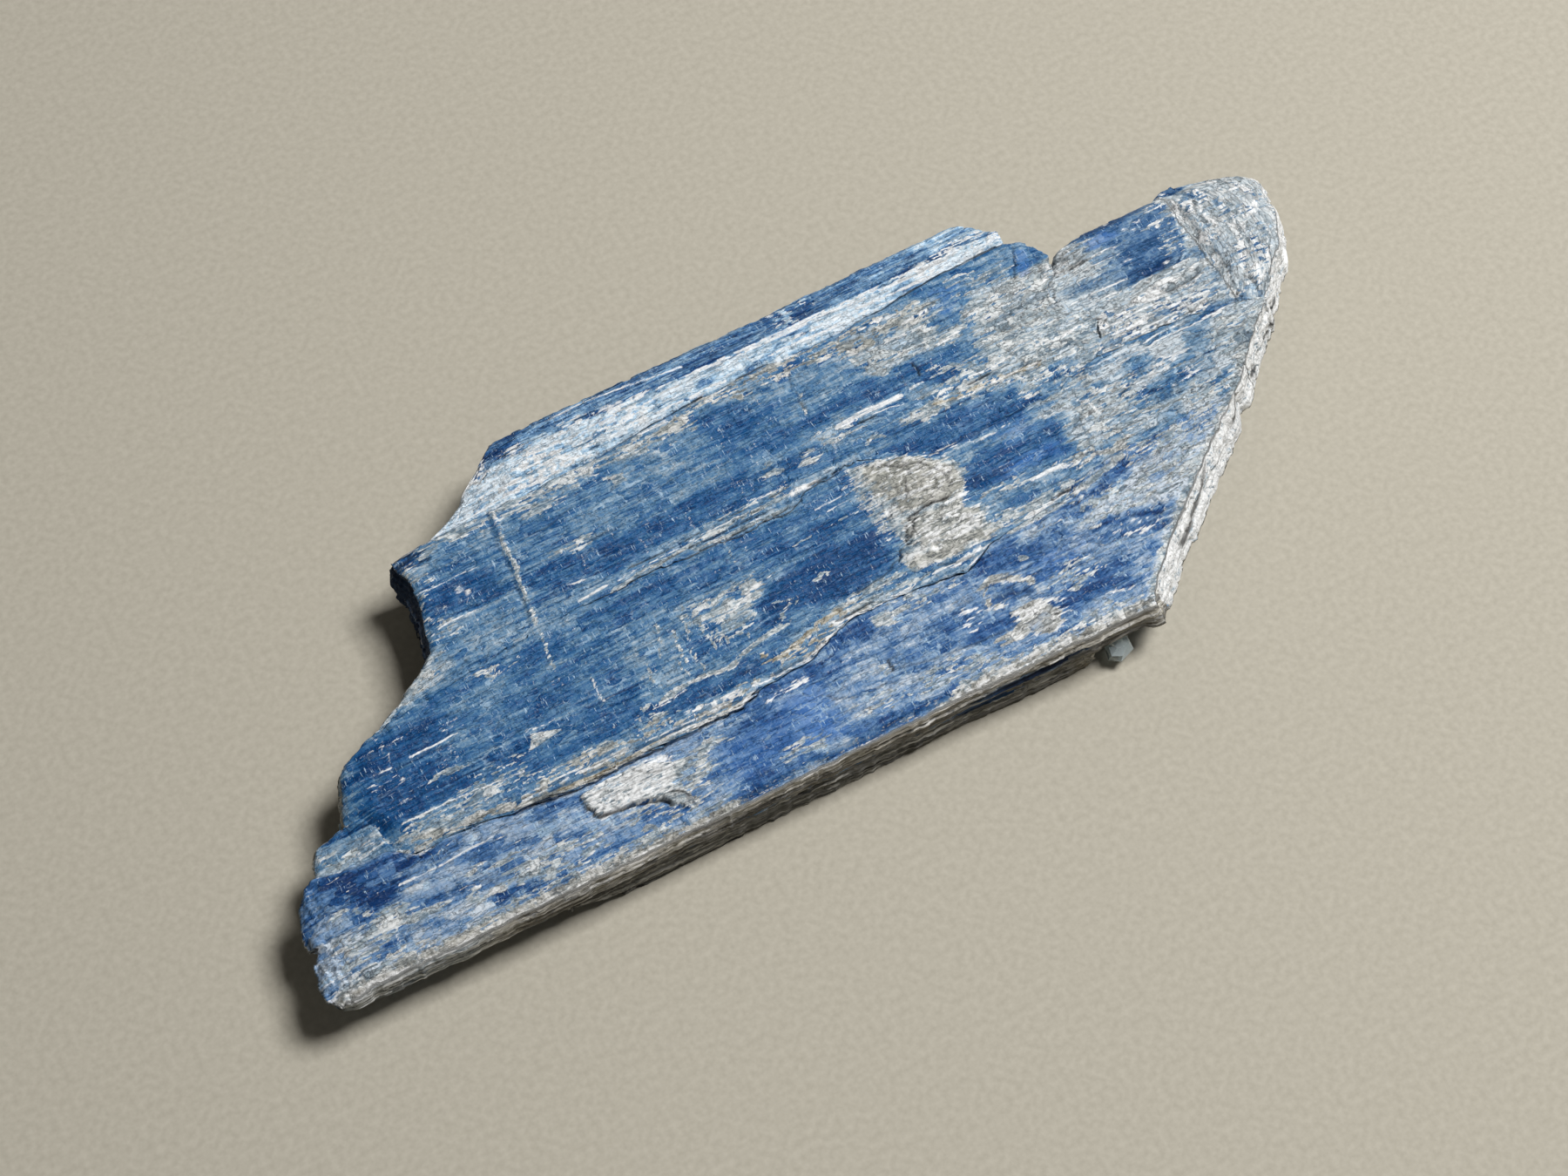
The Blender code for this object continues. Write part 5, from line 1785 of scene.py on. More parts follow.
        *lines(G, (0.22, 48.4, 8.55, 50.4, 8.65), cover=0.8),
        *lines(G, (0.1, 34, 7.6, 34.8, 7.6, 36.4, 7.75), jag=0.3),
        *lines(G, (0.07, 48, 10, 47.8, 9.4, 49.6, 9.3, 50.4, 9.7), jag=0.3, value=0.5),
        *lines(G, (0.07, 14, 6, 17.5, 5.82, 22, 5.84, 27, 5.86), jag=0.3, value=0.6),
        *lines(G, (0.12, 40.2, 10.2, 40.9, 10.8), jag=0.4),
        *lines(G, (0.12, 40.7, 7.9, 41.7, 7.6, 42.6, 7.5), jag=0.4, value=0.7),
        *lines(G, (0.07, 40.6, 9.8, 41.4, 9.2, 41.2, 8.4), (0.07, 43.6, 10.6, 43.7, 9.6, 44.5, 9.1),
            (0.06, 58, 10.2, 61.5, 10.9, 63.8, 12), jag=0.5, value=0.5),
        *lines(G, (0.07, 42.2, 10.9, 42.6, 9.9, 42.2, 9, 42.6, 8.2), jag=0.5, value=0.55),
        *lines(G, (0.07, 39.7, 14.6, 40.4, 13.6, 40.3, 12.6, 39.6, 11.6), jag=0.5, value=0.6),
        *lines(G, (0.08, 44.3, 13.2, 44.1, 12.6, 43.6, 12), (0.07, 42.7, 13.2, 43.2, 12.7, 42.9, 12.1),
            jag=0.5, value=0.7),
        *lines(G, (0.09, 42, 14.3, 42.9, 14, 43.5, 13.3, 43.9, 12.6, 43.8, 11.9), jag=0.5, value=0.75),
        *lines(G, (0.1, 40.9, 15.2, 41.3, 14.6, 42, 14.2, 42.1, 13.9, 41.7, 13.4, 41.5, 12.9, 41, 12.4),
            jag=0.5, value=0.85),
        *lines(G, (0.06, 61.8, 13, 62.8, 12.4, 63.6, 12.8), jag=0.6, value=0.5),
        *lines(G, (0.06, 54.6, 11.6, 55.4, 12.6, 56.8, 13, 58.2, 12.8), jag=0.6, value=0.6),
        *lines(G, (0.1, 7.9, 11.12, 12.2, 11.15), value=0.5),
        *lines(G, (0.1, 29, 6.35, 31.5, 6.4, 32.6, 6.85), value=0.7),
        *lines(G, (0.1, 35.6, 8.6, 37.6, 8.85, 38.9, 9.3), value=0.8),
        *lines(W, (0.3, 16, 5.75, 19, 5.7, 23.4, 5.8), (0.3, 25.6, 5.8, 27.4, 5.75)),
        *runs(F, 0.12, 0.05, (12.6, 15.4, 6.42), (16.4, 19.4, 6.38), (21.4, 24.4, 6.05),
            (24.4, 27.4, 6.32), cover=0.8, jag=0.35),
        *runs(F, 0.13, 0, (54.5, 64.5, 14.65), (55, 61.5, 15), (54, 56, 13.5), (56, 60.5, 14.35),
            cover=0.75),
        *runs(G, 0.07, 0.05, (10.6, 13, 6.45), (13.6, 16.4, 6.25), (15.2, 18.6, 5.95), (18, 21.4, 6.2),
            (20.6, 24, 5.95), (23.2, 26.6, 6.15), (25.6, 28.4, 5.92), cover=0.75, jag=0.35, value=0.8),
        *bars(C, 0.16, 0.15, (25.6, 9.3, 11.4), (26.4, 10.4, 11.9), (27.2, 10.1, 11.9),
            (27.35, 9.2, 10.3), (27.7, 9.3, 10.3), (28.1, 9.2, 10.4), (24.4, 10.2, 10.7), (23.4, 9, 10.2),
            (26.7, 11.2, 12.4), (24.9, 10.9, 12.1), (29.3, 9, 10), cover=0.8, jag=0.4),
        *lines(C, *((0.13, x + 0.1, 9.5 - x / 9, x, 8.4, x + 0.25, y) for x, y in (
            (5.95, 7.3), (6.2, 6.9), (6.45, 7.6))), cover=0.85, jag=0.5),
    )

    def level(self, x: Array, y: Array) -> Array:
        """Flat, but it dips to its rounded left end, and its front lip curls up over the step.

        Args:
            x: millimetres along the blades.
            y: millimetres across the blades.

        Returns:
            Heights in millimetres.
        """
        away = np.hypot((x - 9.5) / 4.6, (y - 10.0) / 4.4)
        worn = 0.55 * rise(0.55, 1.05, away) * (x < 9.5)
        lip = y - self.front.at(x, False)
        curl = 0.07 * np.exp(-((lip - 0.16) ** 2) / 0.02) * rise(8.0, 12.0, x) * (1 - rise(27, 31, x))
        curl *= 0.6 + 0.8 * Laths(154, 1.8, 0.13).at(x, y)
        return self.top - worn + curl

    def dress_top(self, x: Array, y: Array, fields: Fields, place: Place) -> None:
        """White broken edge along the slanted right end.

        Args:
            x: millimetres along the blades.
            y: millimetres across the blades.
            fields: what each kind of mark has done, to change here.
            place: the same points, with their pulls.
        """
        past = x - self.right.at(y, False)
        edge = rise(-1.1, -0.1, past + 0.6 * (place.torn - 0.5))
        fields.at_least(C, 0.9 * edge)
        fields.values[T] -= 0.5 * edge

    def dress_wall(self, rim: Rim, x: Array, y: Array, z: Array, fields: Fields) -> None:
        """White broken laminae on the right end. In the front step the wall is a darker blue with some
        clay, partly painted shade under the lip, and pale cream at the left corner, painted light that
        hides the shade of the seam there.

        Args:
            rim: the loop round the top.
            x: millimetres along the blades.
            y: millimetres across the blades.
            z: height.
            fields: what each kind of mark has done, to change here.
        """
        values = fields.values
        right = x > 61.5
        whiten(values, right, x, z)
        # Front step wall: darker blue as painted shade; at the left corner pale cream as painted light over
        # the shaded seam.
        step = (~right) & (y < 10.2)
        values[C][step] = 0.45
        values[T][step] = 0.75
        values[W][step] = 0.8
        values[C][step & (x < 8.2)] = 0.9
        values[G][step & (x < 8.2)] = 0.1
        values[T][step & (x < 8.2)] = 0.3


@dataclass
class UpperBlade(Blade):
    """The highest and widest blade: square across at its left end, crossed by a cream vein, blue in
    the middle and clay-stained to the right."""

    name: str = "upper_blade"
    slot: str = "deep_kyanite"
    front: Edge = MIDDLE_PARTING
    rear: Edge = REAR_PARTING
    left: Edge = Edge(
        (13.5, 8.4, 14.15, 9.6, 14.65, 10.6, 15.25, 11.5, 15.85, 12.7, 16.4, 13.5, 18, 13.85, 19.5, 14.15,
        21, 14.3, 22.2, 13.9, 23, 14), 160, 0.08
    )
    right: Edge = Edge(
        (15.3, 55.6, 17.3, 56.9, 20.2, 55.3, 21.6, 56.2, 22.8, 56.6, 23.6, 56.5, 24.6, 56.4), 110, 0.2,
        parting=(16, 0, 19.5, 0.1, 20.5, 0.4, 22, 1), height=4.9, depth=0.2
    )
    top: float = 5.0
    depth: float = 0.62
    flare: Row = (-0.05, 0.0, -0.1, 0.4)
    vein: Edge = Edge((12.5, 18.9, 15.5, 19.3, 17.5, 19.6, 19, 19.85, 22.5, 20.2), 165)
    marks: tuple[Mark, ...] = (
        *areas(T, (0.16, 8, 13.4, 13.8, 16.6, 15.6, 16.2, 14.6, 14.9, 11, 14.1)),
        *tones((0.46, 13.5, 19.2, 15, 17.6)),
        *tones((0.9, 14.3, 19.1, 17.7, 19.9), jag=0.4),
        *tones((0.62, 14.5, 19.4, 20.1, 22.3), (0.9, 20.2, 33.4, 16.3, 18.2)),
        *tones((0.95, 13.7, 15.7, 21.7, 23), jag=0.5),
        *tones((0.97, 22.3, 23.3, 17.1, 17.85), jag=0.3),
        *tones((0.66, 20.4, 27.4, 18.4, 20.2), (0.74, 20.4, 26.8, 20.1, 21.8),
            (0.6, 27, 32.8, 18.6, 21.6), (0.84, 32.9, 36, 19.4, 22.6), (0.8, 32.6, 38.4, 17, 20),
            (0.62, 36.8, 43, 20, 22.9), (0.84, 36.4, 46, 18.9, 20), (0.93, 39.6, 45.9, 19.3, 19.9),
            (0.58, 19.8, 24, 15.2, 16.3), (0.6, 38.6, 45, 16.2, 18.2), (0.52, 43, 50.2, 20.2, 23.8),
            (0.66, 47.4, 50, 21, 22.1), (0.66, 49.5, 50.6, 22.3, 23.6), (0.66, 48, 51.2, 23.4, 24.8),
            (0.6, 51, 54.2, 23.2, 24.9), (0.72, 46, 50, 19, 20.3), (0.8, 42.3, 44.5, 16, 16.9),
            (0.88, 42, 50.2, 14.4, 15.9), (0.92, 46, 47.6, 18.2, 19.1)),
        *areas(T, (0.16, *STAINED_CORNER)),
        *tones((0.44, 50, 53.2, 19.6, 20.8), (0.5, 49.5, 52.5, 15, 16.2)),
        *areas(T, (0.44, 54, 21.7, 54.8, 21.4, 55.7, 22.8, 56.3, 24.1, 55.4, 24.3, 54.8, 23.2)),
        *clays((0.7, 15.7, 19, 22.1, 23.1), (0.45, 14, 14.8, 16.8, 22), (0.5, 22, 24.6, 18.2, 18.9),
            (0.7, 20.3, 33, 22.1, 23.3), (0.55, 33, 43, 22.8, 24.1), (0.75, 21.9, 23.6, 21.3, 22.4),
            (0.9, 31, 32.8, 22.6, 23), (0.5, 30, 36, 16, 16.5), (0.5, 38.2, 41.4, 17.6, 18.5),
            (0.5, 50.8, 54.2, 22, 24), (0.95, 44.2, 45.7, 16.2, 17.2), (0.7, 45.4, 57.5, 16.2, 18.3),
            (0.55, 50, 57.5, 14.9, 16.2), (0.55, 46.8, 50.6, 18.2, 19)),
        *clays((0.95, 35.1, 35.6, 17.8, 18.1), jag=0.4),
        *clays((1, 34.4, 35.7, 17.2, 17.6), (0.95, 37.3, 37.9, 17.4, 17.8), jag=0.5),
        *clays((1, 36.5, 37.9, 17, 17.35), jag=0.6),
        *flakes_and_highlights((1, 16.3, 16.75, 18.6, 19.4), jag=0.35),
        *flakes_and_highlights((0.95, 35.2, 37.2, 15.65, 16.05), jag=0.4),
        *blocks(G, (0.75, 13.7, 15.5, 21.8, 23), cover=0.5),
        *blocks(V, (0.7, 49.5, 50.6, 22.3, 23.5), soft=1.6),
        *blocks(W, (0.45, 30, 48, 22.4, 24.2)),
        *areas(C, (0.8, 8, 13.4, 12.8, 16.2, 14.2, 16.2, 13.8, 15.2, 10.8, 14.1), cover=0.6),
        *areas(C, (0.95, 42.7, 23.9, 42.9, 21, 43.6, 20.3, 49.2, 20.3, 51, 21.4, 51.5, 22.2, 49.4, 21.3,
            47.6, 22, 49.4, 22.6, 48.2, 23.6, 45.8, 24), cover=0.8),
        *areas(C, (0.95, *STAINED_CORNER), cover=0.82),
        *areas(C, (1, 26.9, 21.9, 27.6, 21.8, 27.9, 20.9, 27, 20.9), jag=0.6),
        *areas(Z, (0.9, 42.7, 23.9, 43.2, 20.4, 48, 20.3, 47.6, 22, 48.4, 23, 45.8, 24),
            (0.8, 51, 19, 57, 18.6, 57, 22.5, 53.5, 22.6, 51.4, 22.8)),
        *areas(V, (0.7, 54.3, 21.9, 54.8, 21.5, 55.4, 22.6, 55.8, 23.8, 55.1, 24, 54.8, 23), jag=0.3),
        *areas(W, (0.6, 43.8, 22.9, 45.4, 23, 45.2, 22.2, 43.8, 22.3)),
        *lines(C, (0.26, 24, 15.2, 27, 15.35, 29.8, 15.6, 33, 15.8, 36.4, 15.9),
            (0.22, 29, 15.2, 32, 15.1, 35, 15.15), cover=0.8),
        *lines(C, (0.16, 39.2, 21.3, 39, 20.7, 38.8, 20), cover=0.8, jag=0.4),
        *lines(C, (0.14, 44.2, 20.5, 47.7, 20.4), cover=0.85, jag=0.4),
        *lines(C, (0.2, 41, 16.6, 41.5, 16.9, 42.1, 16.6), jag=0.4),
        *lines(F, (0.12, 42.4, 18.2, 44.6, 17.9), (0.3, 44.4, 23.4, 46.6, 23.6),
            (0.2, 46, 17.5, 50, 17.6, 56, 17.5), (0.16, 47, 16.6, 52.2, 16.7), cover=0.7),
        *lines(F, (0.12, 13.9, 17.3, 14.8, 17.6, 17.4, 17.55), (0.1, 13.9, 22.3, 14.3, 22.7, 15.2, 22.75),
            (0.08, 14.5, 21.9, 15.8, 22.2), cover=0.7, jag=0.4),
        *lines(F, (0.12, 29.2, 15.8, 33.2, 15.9), (0.1, 32, 15.25, 35.4, 15.3),
            (0.1, 24.6, 15.6, 28.2, 15.7), (0.08, 30.4, 16.35, 34.6, 16.4), (0.1, 33.4, 16.5, 36.4, 16.3),
            cover=0.7, jag=0.8),
        *lines(F, (0.16, 34.2, 23.4, 35.8, 23.75), (0.14, 21.7, 16.6, 22.8, 16.4), cover=0.8),
        *lines(F, (0.1, 14.2, 20, 18.2, 20), cover=0.8, jag=0.4),
        *lines(F, (0.14, 45.2, 20.9, 47.4, 21), cover=0.8, jag=0.5),
        *lines(F, (0.2, 56.4, 22.2, 55.6, 21.3, 55.2, 20.4), cover=0.8, jag=0.6),
        *lines(F, (0.16, 44.9, 18.6, 45.9, 18.65), cover=0.85, jag=0.4),
        *lines(F, (0.24, 43.4, 22, 45, 22, 47.6, 22), (0.2, 46.8, 22.7, 48.6, 22.8), cover=0.85, jag=0.5),
        *lines(F, (0.36, 40, 18.3, 42, 18.5, 44.2, 18.45), jag=0.2),
        *lines(F, (0.07, 15.4, 19.2, 15.4, 18.2), jag=0.3, value=0.5),
        *lines(F, (0.07, 16.6, 18.6, 16.7, 18), jag=0.3, value=0.7),
        *lines(F, (0.2, 47.7, 20.42, 49.3, 20.6), jag=0.35),
        *lines(F, (0.2, 29.8, 23.35, 31.6, 23.4), (0.18, 22, 15.42, 23.8, 15.55), jag=0.4),
        *lines(G, (0.12, 36.8, 15.85, 39.2, 15.85), cover=0.6, jag=0.7),
        *lines(G, (0.09, 24.4, 15.95, 27.6, 15.9, 30, 16), (0.09, 29, 15.4, 32.6, 15.5, 34.2, 15.4),
            (0.08, 31, 16.2, 34, 16.1, 35.6, 16.25), (0.11, 29.4, 15.05, 33, 15, 35.8, 15.1),
            (0.1, 35.6, 15.62, 38.6, 15.5), (0.07, 31.8, 15.72, 33.4, 15.78),
            (0.07, 26.4, 15.3, 28.6, 15.4), cover=0.6, jag=0.8),
        *lines(G, (0.16, 27, 23.3, 32, 23.8, 38.1, 24.1), jag=0.1),
        *lines(G, (0.16, 45.7, 24.2, 50, 24.75, 54.8, 24.9), jag=0.1, value=0.8),
        *lines(G, (0.12, 41.2, 18, 42.3, 18), (0.16, 45.95, 20, 45.9, 19.1), jag=0.3),
        *lines(G, (0.08, 20.6, 20.35, 22.6, 20.45, 24.4, 20.9), jag=0.3, value=0.55),
        *lines(G, (0.12, 54.1, 22.2, 54.7, 23.2, 55.2, 24.2), jag=0.3, value=0.7),
        *lines(G, (0.13, 48, 17.25, 49.4, 17.3), (0.1, 52, 16.55, 52.4, 16.7), jag=0.4),
        *lines(G, (0.09, 39.4, 23.5, 39.1, 22, 38.95, 20.8, 38.9, 20), jag=0.4, value=0.6),
        *lines(G, (0.08, 52.6, 22.4, 53.2, 21.2, 52.6, 20.2, 53.4, 19), jag=0.6, value=0.45),
        *lines(G, (0.1, 56.3, 23, 55.4, 21.4, 54.8, 20.2, 53.8, 19.6),
            (0.08, 44.6, 19.9, 44.9, 18.6, 45.4, 17.6), jag=0.6, value=0.55),
        *lines(G, (0.09, 55.2, 20.9, 55, 19.6, 55.4, 18.8), jag=0.6, value=0.7),
        *lines(G, (0.07, 15.2, 21.4, 17.5, 21.2), value=0.4),
        *lines(W, (0.3, 46, 16.9, 52.2, 16.6)),
        *bars(F, 0.11, -0.05, (23.4, 18.1, 16.9), (26.8, 17.3, 16.2), (33.3, 17.9, 16.5),
            (34.85, 19.1, 18.3), (29.8, 17.5, 16.4), (25.6, 19, 18), (38.9, 20.6, 19.9),
            (44.9, 19.8, 18.7), cover=0.85, jag=0.3, value=0.8),
    )

    def level(self, x: Array, y: Array) -> Array:
        """Flat; the vein stands up a little, and the left end slopes down to a broken corner.

        Args:
            x: millimetres along the blades.
            y: millimetres across the blades.

        Returns:
            Heights in millimetres.
        """
        away = x - self.vein.at(y, False)
        ridge = 0.07 * np.exp(-((away / 0.12) ** 2)) - 0.06 * np.exp(-(((away + 0.3) / 0.12) ** 2))
        slope = 0.75 * (1 - rise(9.0, 14.5, x)) * (1 - rise(15.5, 17.5, y))
        return self.top + ridge - slope - 0.25 * rise(22.0, 23.4, y) * (1 - rise(20.0, 26.0, x))

    def dress_top(self, x: Array, y: Array, fields: Fields, place: Place) -> None:
        """Cream along the vein, with a dark line in the groove on its left that is painted shade.

        Args:
            x: millimetres along the blades.
            y: millimetres across the blades.
            fields: what each kind of mark has done, to change here.
            place: the same points, with their pulls.
        """
        away = x - self.vein.at(y, False) + 0.25 * (Grain(163, 0.5, 0.9).at(x, y) - 0.5)
        away += 0.1 * (place.torn - 0.5)
        broken = rise(0.25, 0.55, Grain(164, 0.4, 0.5).at(x, y))
        on_vein = (1 - rise(0.08, 0.18, np.abs(away))) * (0.4 + 0.6 * broken)
        fields.at_least(C, on_vein)
        fields.at_least(F, 0.9 * broken * (1 - rise(0.04, 0.1, np.abs(away - 0.05))))
        # Painted shade: a dark line in the groove on the vein's left.
        fields.at_least(G, 0.5 * np.exp(-(((away + 0.28) / 0.07) ** 2)))

    def dress_wall(self, rim: Rim, x: Array, y: Array, z: Array, fields: Fields) -> None:
        """The left end is dark navy between pale laminae: partly the stone's colour, partly painted shade,
        since this end faces away from the lamp.

        Args:
            rim: the loop round the top.
            x: millimetres along the blades.
            y: millimetres across the blades.
            z: height.
            fields: what each kind of mark has done, to change here.
        """
        # Left end wall: dark navy with pale seams, partly the stone's colour and partly painted shade on
        # the side away from the lamp.
        left = (x < 15.5) & (y > 15.8)
        values = fields.values
        seam = rise(0.5, 0.7, Laths(217, 6.0, 0.25).at(y, z))
        values[T][left] = 0.98
        values[C][left] *= 0.3
        values[F][left] = (0.7 * values[F] * seam)[left]
        values[G][left] = (0.75 - 0.6 * seam)[left]


@dataclass
class EndBlade(Blade):
    """The bent blade end: a deep blue window, pale parallel lines, and a curled knot at its tip."""

    name: str = "end_blade"
    slot: str = "bent_kyanite"
    front: Edge = MIDDLE_PARTING
    rear: Edge = Edge(
        (55.6, 22.6, 57, 22.8, 58.6, 23.2, 60, 23.4, 64.3, 23.4, 64.8, 23.6, 65.4, 23.75, 66.2, 23.8,
        72, 23.8), 170, 0.05
    )
    left: Edge = END_PARTING
    right: Edge = Edge(
        (14.2, 66.4, 15.6, 67.8, 17.2, 69.3, 19, 70.3, 20.6, 70.9, 21.8, 70.8, 22.6, 70, 23.2, 68.8,
        23.8, 66.6), 173, 0.12
    )
    top: float = 4.9
    depth: float = 0.24
    bed: float = 0.5
    relief: float = 0.65
    flare: Row = (-0.05, 0.9, 0.1, 0.0)
    cell_along: float = 0.09
    marks: tuple[Mark, ...] = (
        *tones((0.28, 55, 64.6, 15, 15.9), (0.16, 65.4, 71, 15, 23.4)),
        *areas(T, (0.78, 58.6, 23.3, 61, 23.6, 64.4, 23.5, 64.8, 22, 64.3, 19.5, 63.3, 18.5, 60.2, 18.7,
            60.3, 20.2, 60, 21.2, 58.8, 21.9), jag=0.6),
        *tones((0.58, 59.1, 60.9, 22, 22.8), (0.98, 58.4, 64.4, 23, 23.5)),
        *tones((0.9, 60.2, 63.2, 18.7, 20.9), (0.5, 67.6, 70, 19.5, 20.6), jag=0.3),
        *tones((0.74, 60.4, 62.8, 21.1, 22), (0.58, 58.9, 60.3, 19.6, 21.9), (0.62, 60.6, 63, 22, 22.6),
            (0.46, 56.4, 60.2, 19, 20.4), (0.5, 57.6, 59.6, 16.8, 17.4), (0.3, 67.3, 69.8, 21, 22.1),
            (0.42, 66.8, 68.8, 17.4, 18.7), (0.36, 66, 67.6, 16.6, 17.7)),
        *areas(T, (0.92, 64.6, 23.3, 65, 23.8, 66.6, 24, 67, 23.4, 66.3, 23, 65.4, 23.3)),
        *clays((0.6, 55, 64.6, 15, 18.6), (0.35, 63.1, 64.8, 19, 22.8), (0.75, 56, 58.8, 20.4, 23),
            (0.9, 59.8, 64.4, 17.4, 18.6), (0.7, 65.4, 67.2, 18.4, 22.8), (0.8, 67, 69.6, 18.7, 19.4)),
        *clays((0.7, 65.6, 70.4, 15.4, 22.6), jag=0.4),
        *blocks(C, (0.2, 67.6, 70, 19.5, 20.6)),
        *blocks(Z, (0.8, 55, 64.8, 14.6, 19.2), (0.6, 56, 60.2, 19.2, 22.8), (0.7, 65, 71, 15, 23.4)),
        *blocks(G, (0.6, 56.6, 58.6, 21.4, 22.6), cover=0.4),
        *blocks(G, (0.4, 67.4, 68.2, 19.6, 20.2), cover=0.5),
        *areas(C, (1, *TUCKED_SPLINTER)),
        *areas(L, (0.2, *TUCKED_SPLINTER)),
        *areas(L, (0.22, 65.4, 15.9, 66.9, 15.4, 68.3, 17.1, 69.6, 19.2, 69.9, 21.3, 68.9, 22.3,
            66.6, 22.9, 65.4, 22.6, 65.3, 19), soft=4),
        *areas(V, (0.75, 59, 22, 59.4, 22.7, 60.8, 22.9, 61, 22.2, 60, 21.9)),
        *lines(C, (0.2, 56, 21.2, 55.7, 20.4, 55.1, 19.9)),
        *lines(C, (0.3, 64.6, 22.9, 64.9, 21.4, 64.7, 19.4), cover=0.7),
        *lines(C, (1.1, 67, 14.9, 68.6, 16.6, 69.8, 18.2, 70.5, 19.6, 70.6, 21.2, 69.9, 22.4, 68.6, 22.9),
            cover=0.9),
        *lines(C, (0.55, 64.9, 23.2, 65.2, 21, 65.2, 19, 65.4, 17, 65, 15.2), jag=0.5),
        *lines(F, (0.3, 67, 18, 68.6, 19.4, 69.8, 20.2), cover=0.6, jag=0.8),
        *lines(F, (0.25, 66.6, 22.4, 66.3, 20.6, 66.9, 19.2), (0.2, 66.6, 23.3, 68.6, 22.7, 69.9, 21.6),
            cover=0.7, jag=0.8),
        *lines(F, (0.2, 66.9, 15.3, 68.4, 16.9, 69.4, 18.4), (0.2, 67.6, 15.2, 69, 16.8, 69.9, 18.4),
            cover=0.75),
        *lines(F, (0.2, 65.3, 22.6, 65.5, 20.6, 65.5, 18.8), (0.12, 68, 21.6, 69.8, 21.6), cover=0.8),
        *lines(G, (0.13, 56.1, 18.1, 56.9, 17.5, 57.2, 17), (0.1, 55.7, 21.1, 55.45, 20.1, 55.3, 19.2),
            (0.16, 65.3, 15.3, 65.2, 14.8)),
        *lines(G, (0.12, 65.8, 17.8, 65.5, 16.8, 65.35, 16), cover=0.6, jag=0.8),
        *lines(G, (0.3, 65.5, 21.6, 65.35, 19.6, 65.6, 17.8, 65.7, 16), jag=0.3, value=0.3),
        *lines(G, (0.09, 65.1, 22.4, 65.3, 20.6, 65, 19, 65.2, 17.2),
            (0.09, 66.3, 22.6, 66, 20.8, 66.5, 19.2, 66.4, 17.8), jag=0.8, value=0.5),
        *lines(G, (0.09, 61.8, 15.3, 63.4, 15.8), (0.1, 67, 14.9, 68.2, 16.1), value=0.6),
        *lines(G, (0.12, 61.2, 17.2, 62.6, 17.15, 64, 17.5), (0.1, 69.5, 17, 69.9, 17.8, 70.1, 18.4),
            value=0.7),
        *lines(G, (0.12, 66.3, 15.8, 66.5, 15, 66.1, 14.4, 65.2, 14.2), value=0.8),
        *runs(F, 0.15, 0, (55.2, 57, 15.2), (55.6, 64, 15.75), (57, 64, 16.2),
            (56.4, 61.5, 16.8), (58, 63.8, 17.15), (57, 64, 18.6), (56, 60, 19.2), (57.5, 60.4, 20.9),
            (58.8, 60.2, 21.5), cover=0.8, jag=0.7),
        # Painted glints: small white specks in the window that stand for highlights.
        *flakes_and_highlights(*((1, x - 0.22, x + 0.22, y - 0.13, y + 0.13) for x, y in (
            (61.55, 22.25), (62.4, 21.95), (60.7, 20.25), (62.6, 22.35), (60.25, 21.45), (60.95, 23.25),
            (64.6, 22.4), (62.8, 19))), jag=0.25),
    )

    def level(self, x: Array, y: Array) -> Array:
        """Flat, but it bends down over the tip and along the rear edge beside the window.

        Args:
            x: millimetres along the blades.
            y: millimetres across the blades.

        Returns:
            Heights in millimetres.
        """
        away = np.hypot((x - 66.0) / 5.2, (y - 19.2) / 5.4)
        bent = 0.5 * rise(0.6, 1.0, away) * (x > 66.0)
        corner = 0.25 * (1 - rise(56.5, 59.0, x)) * rise(19, 21, y)
        return self.top - bent - 0.35 * rise(22.6, 23.5, y) - corner

    def flow(self, x: Array, y: Array) -> tuple[Array, Array]:
        """Along the blade as far as the bend, and round the point (60.5, 19) beyond it.

        Args:
            x: millimetres along the blades.
            y: millimetres across the blades.

        Returns:
            Millimetres along and across the grain.
        """
        bend = x > 64.9 + 0.25 * (Grain(176, 1.0, 1.0).at(x, y) - 0.5)
        turn, far = np.arctan2(y - 19.0, x - 60.5), np.hypot(x - 60.5, y - 19.0)
        return np.where(bend, 7.0 * turn, x), np.where(bend, far, y)

    def dress_wall(self, rim: Rim, x: Array, y: Array, z: Array, fields: Fields) -> None:
        """White broken laminae round the tip."""
        whiten(fields.values, x > 64.8, x, z)


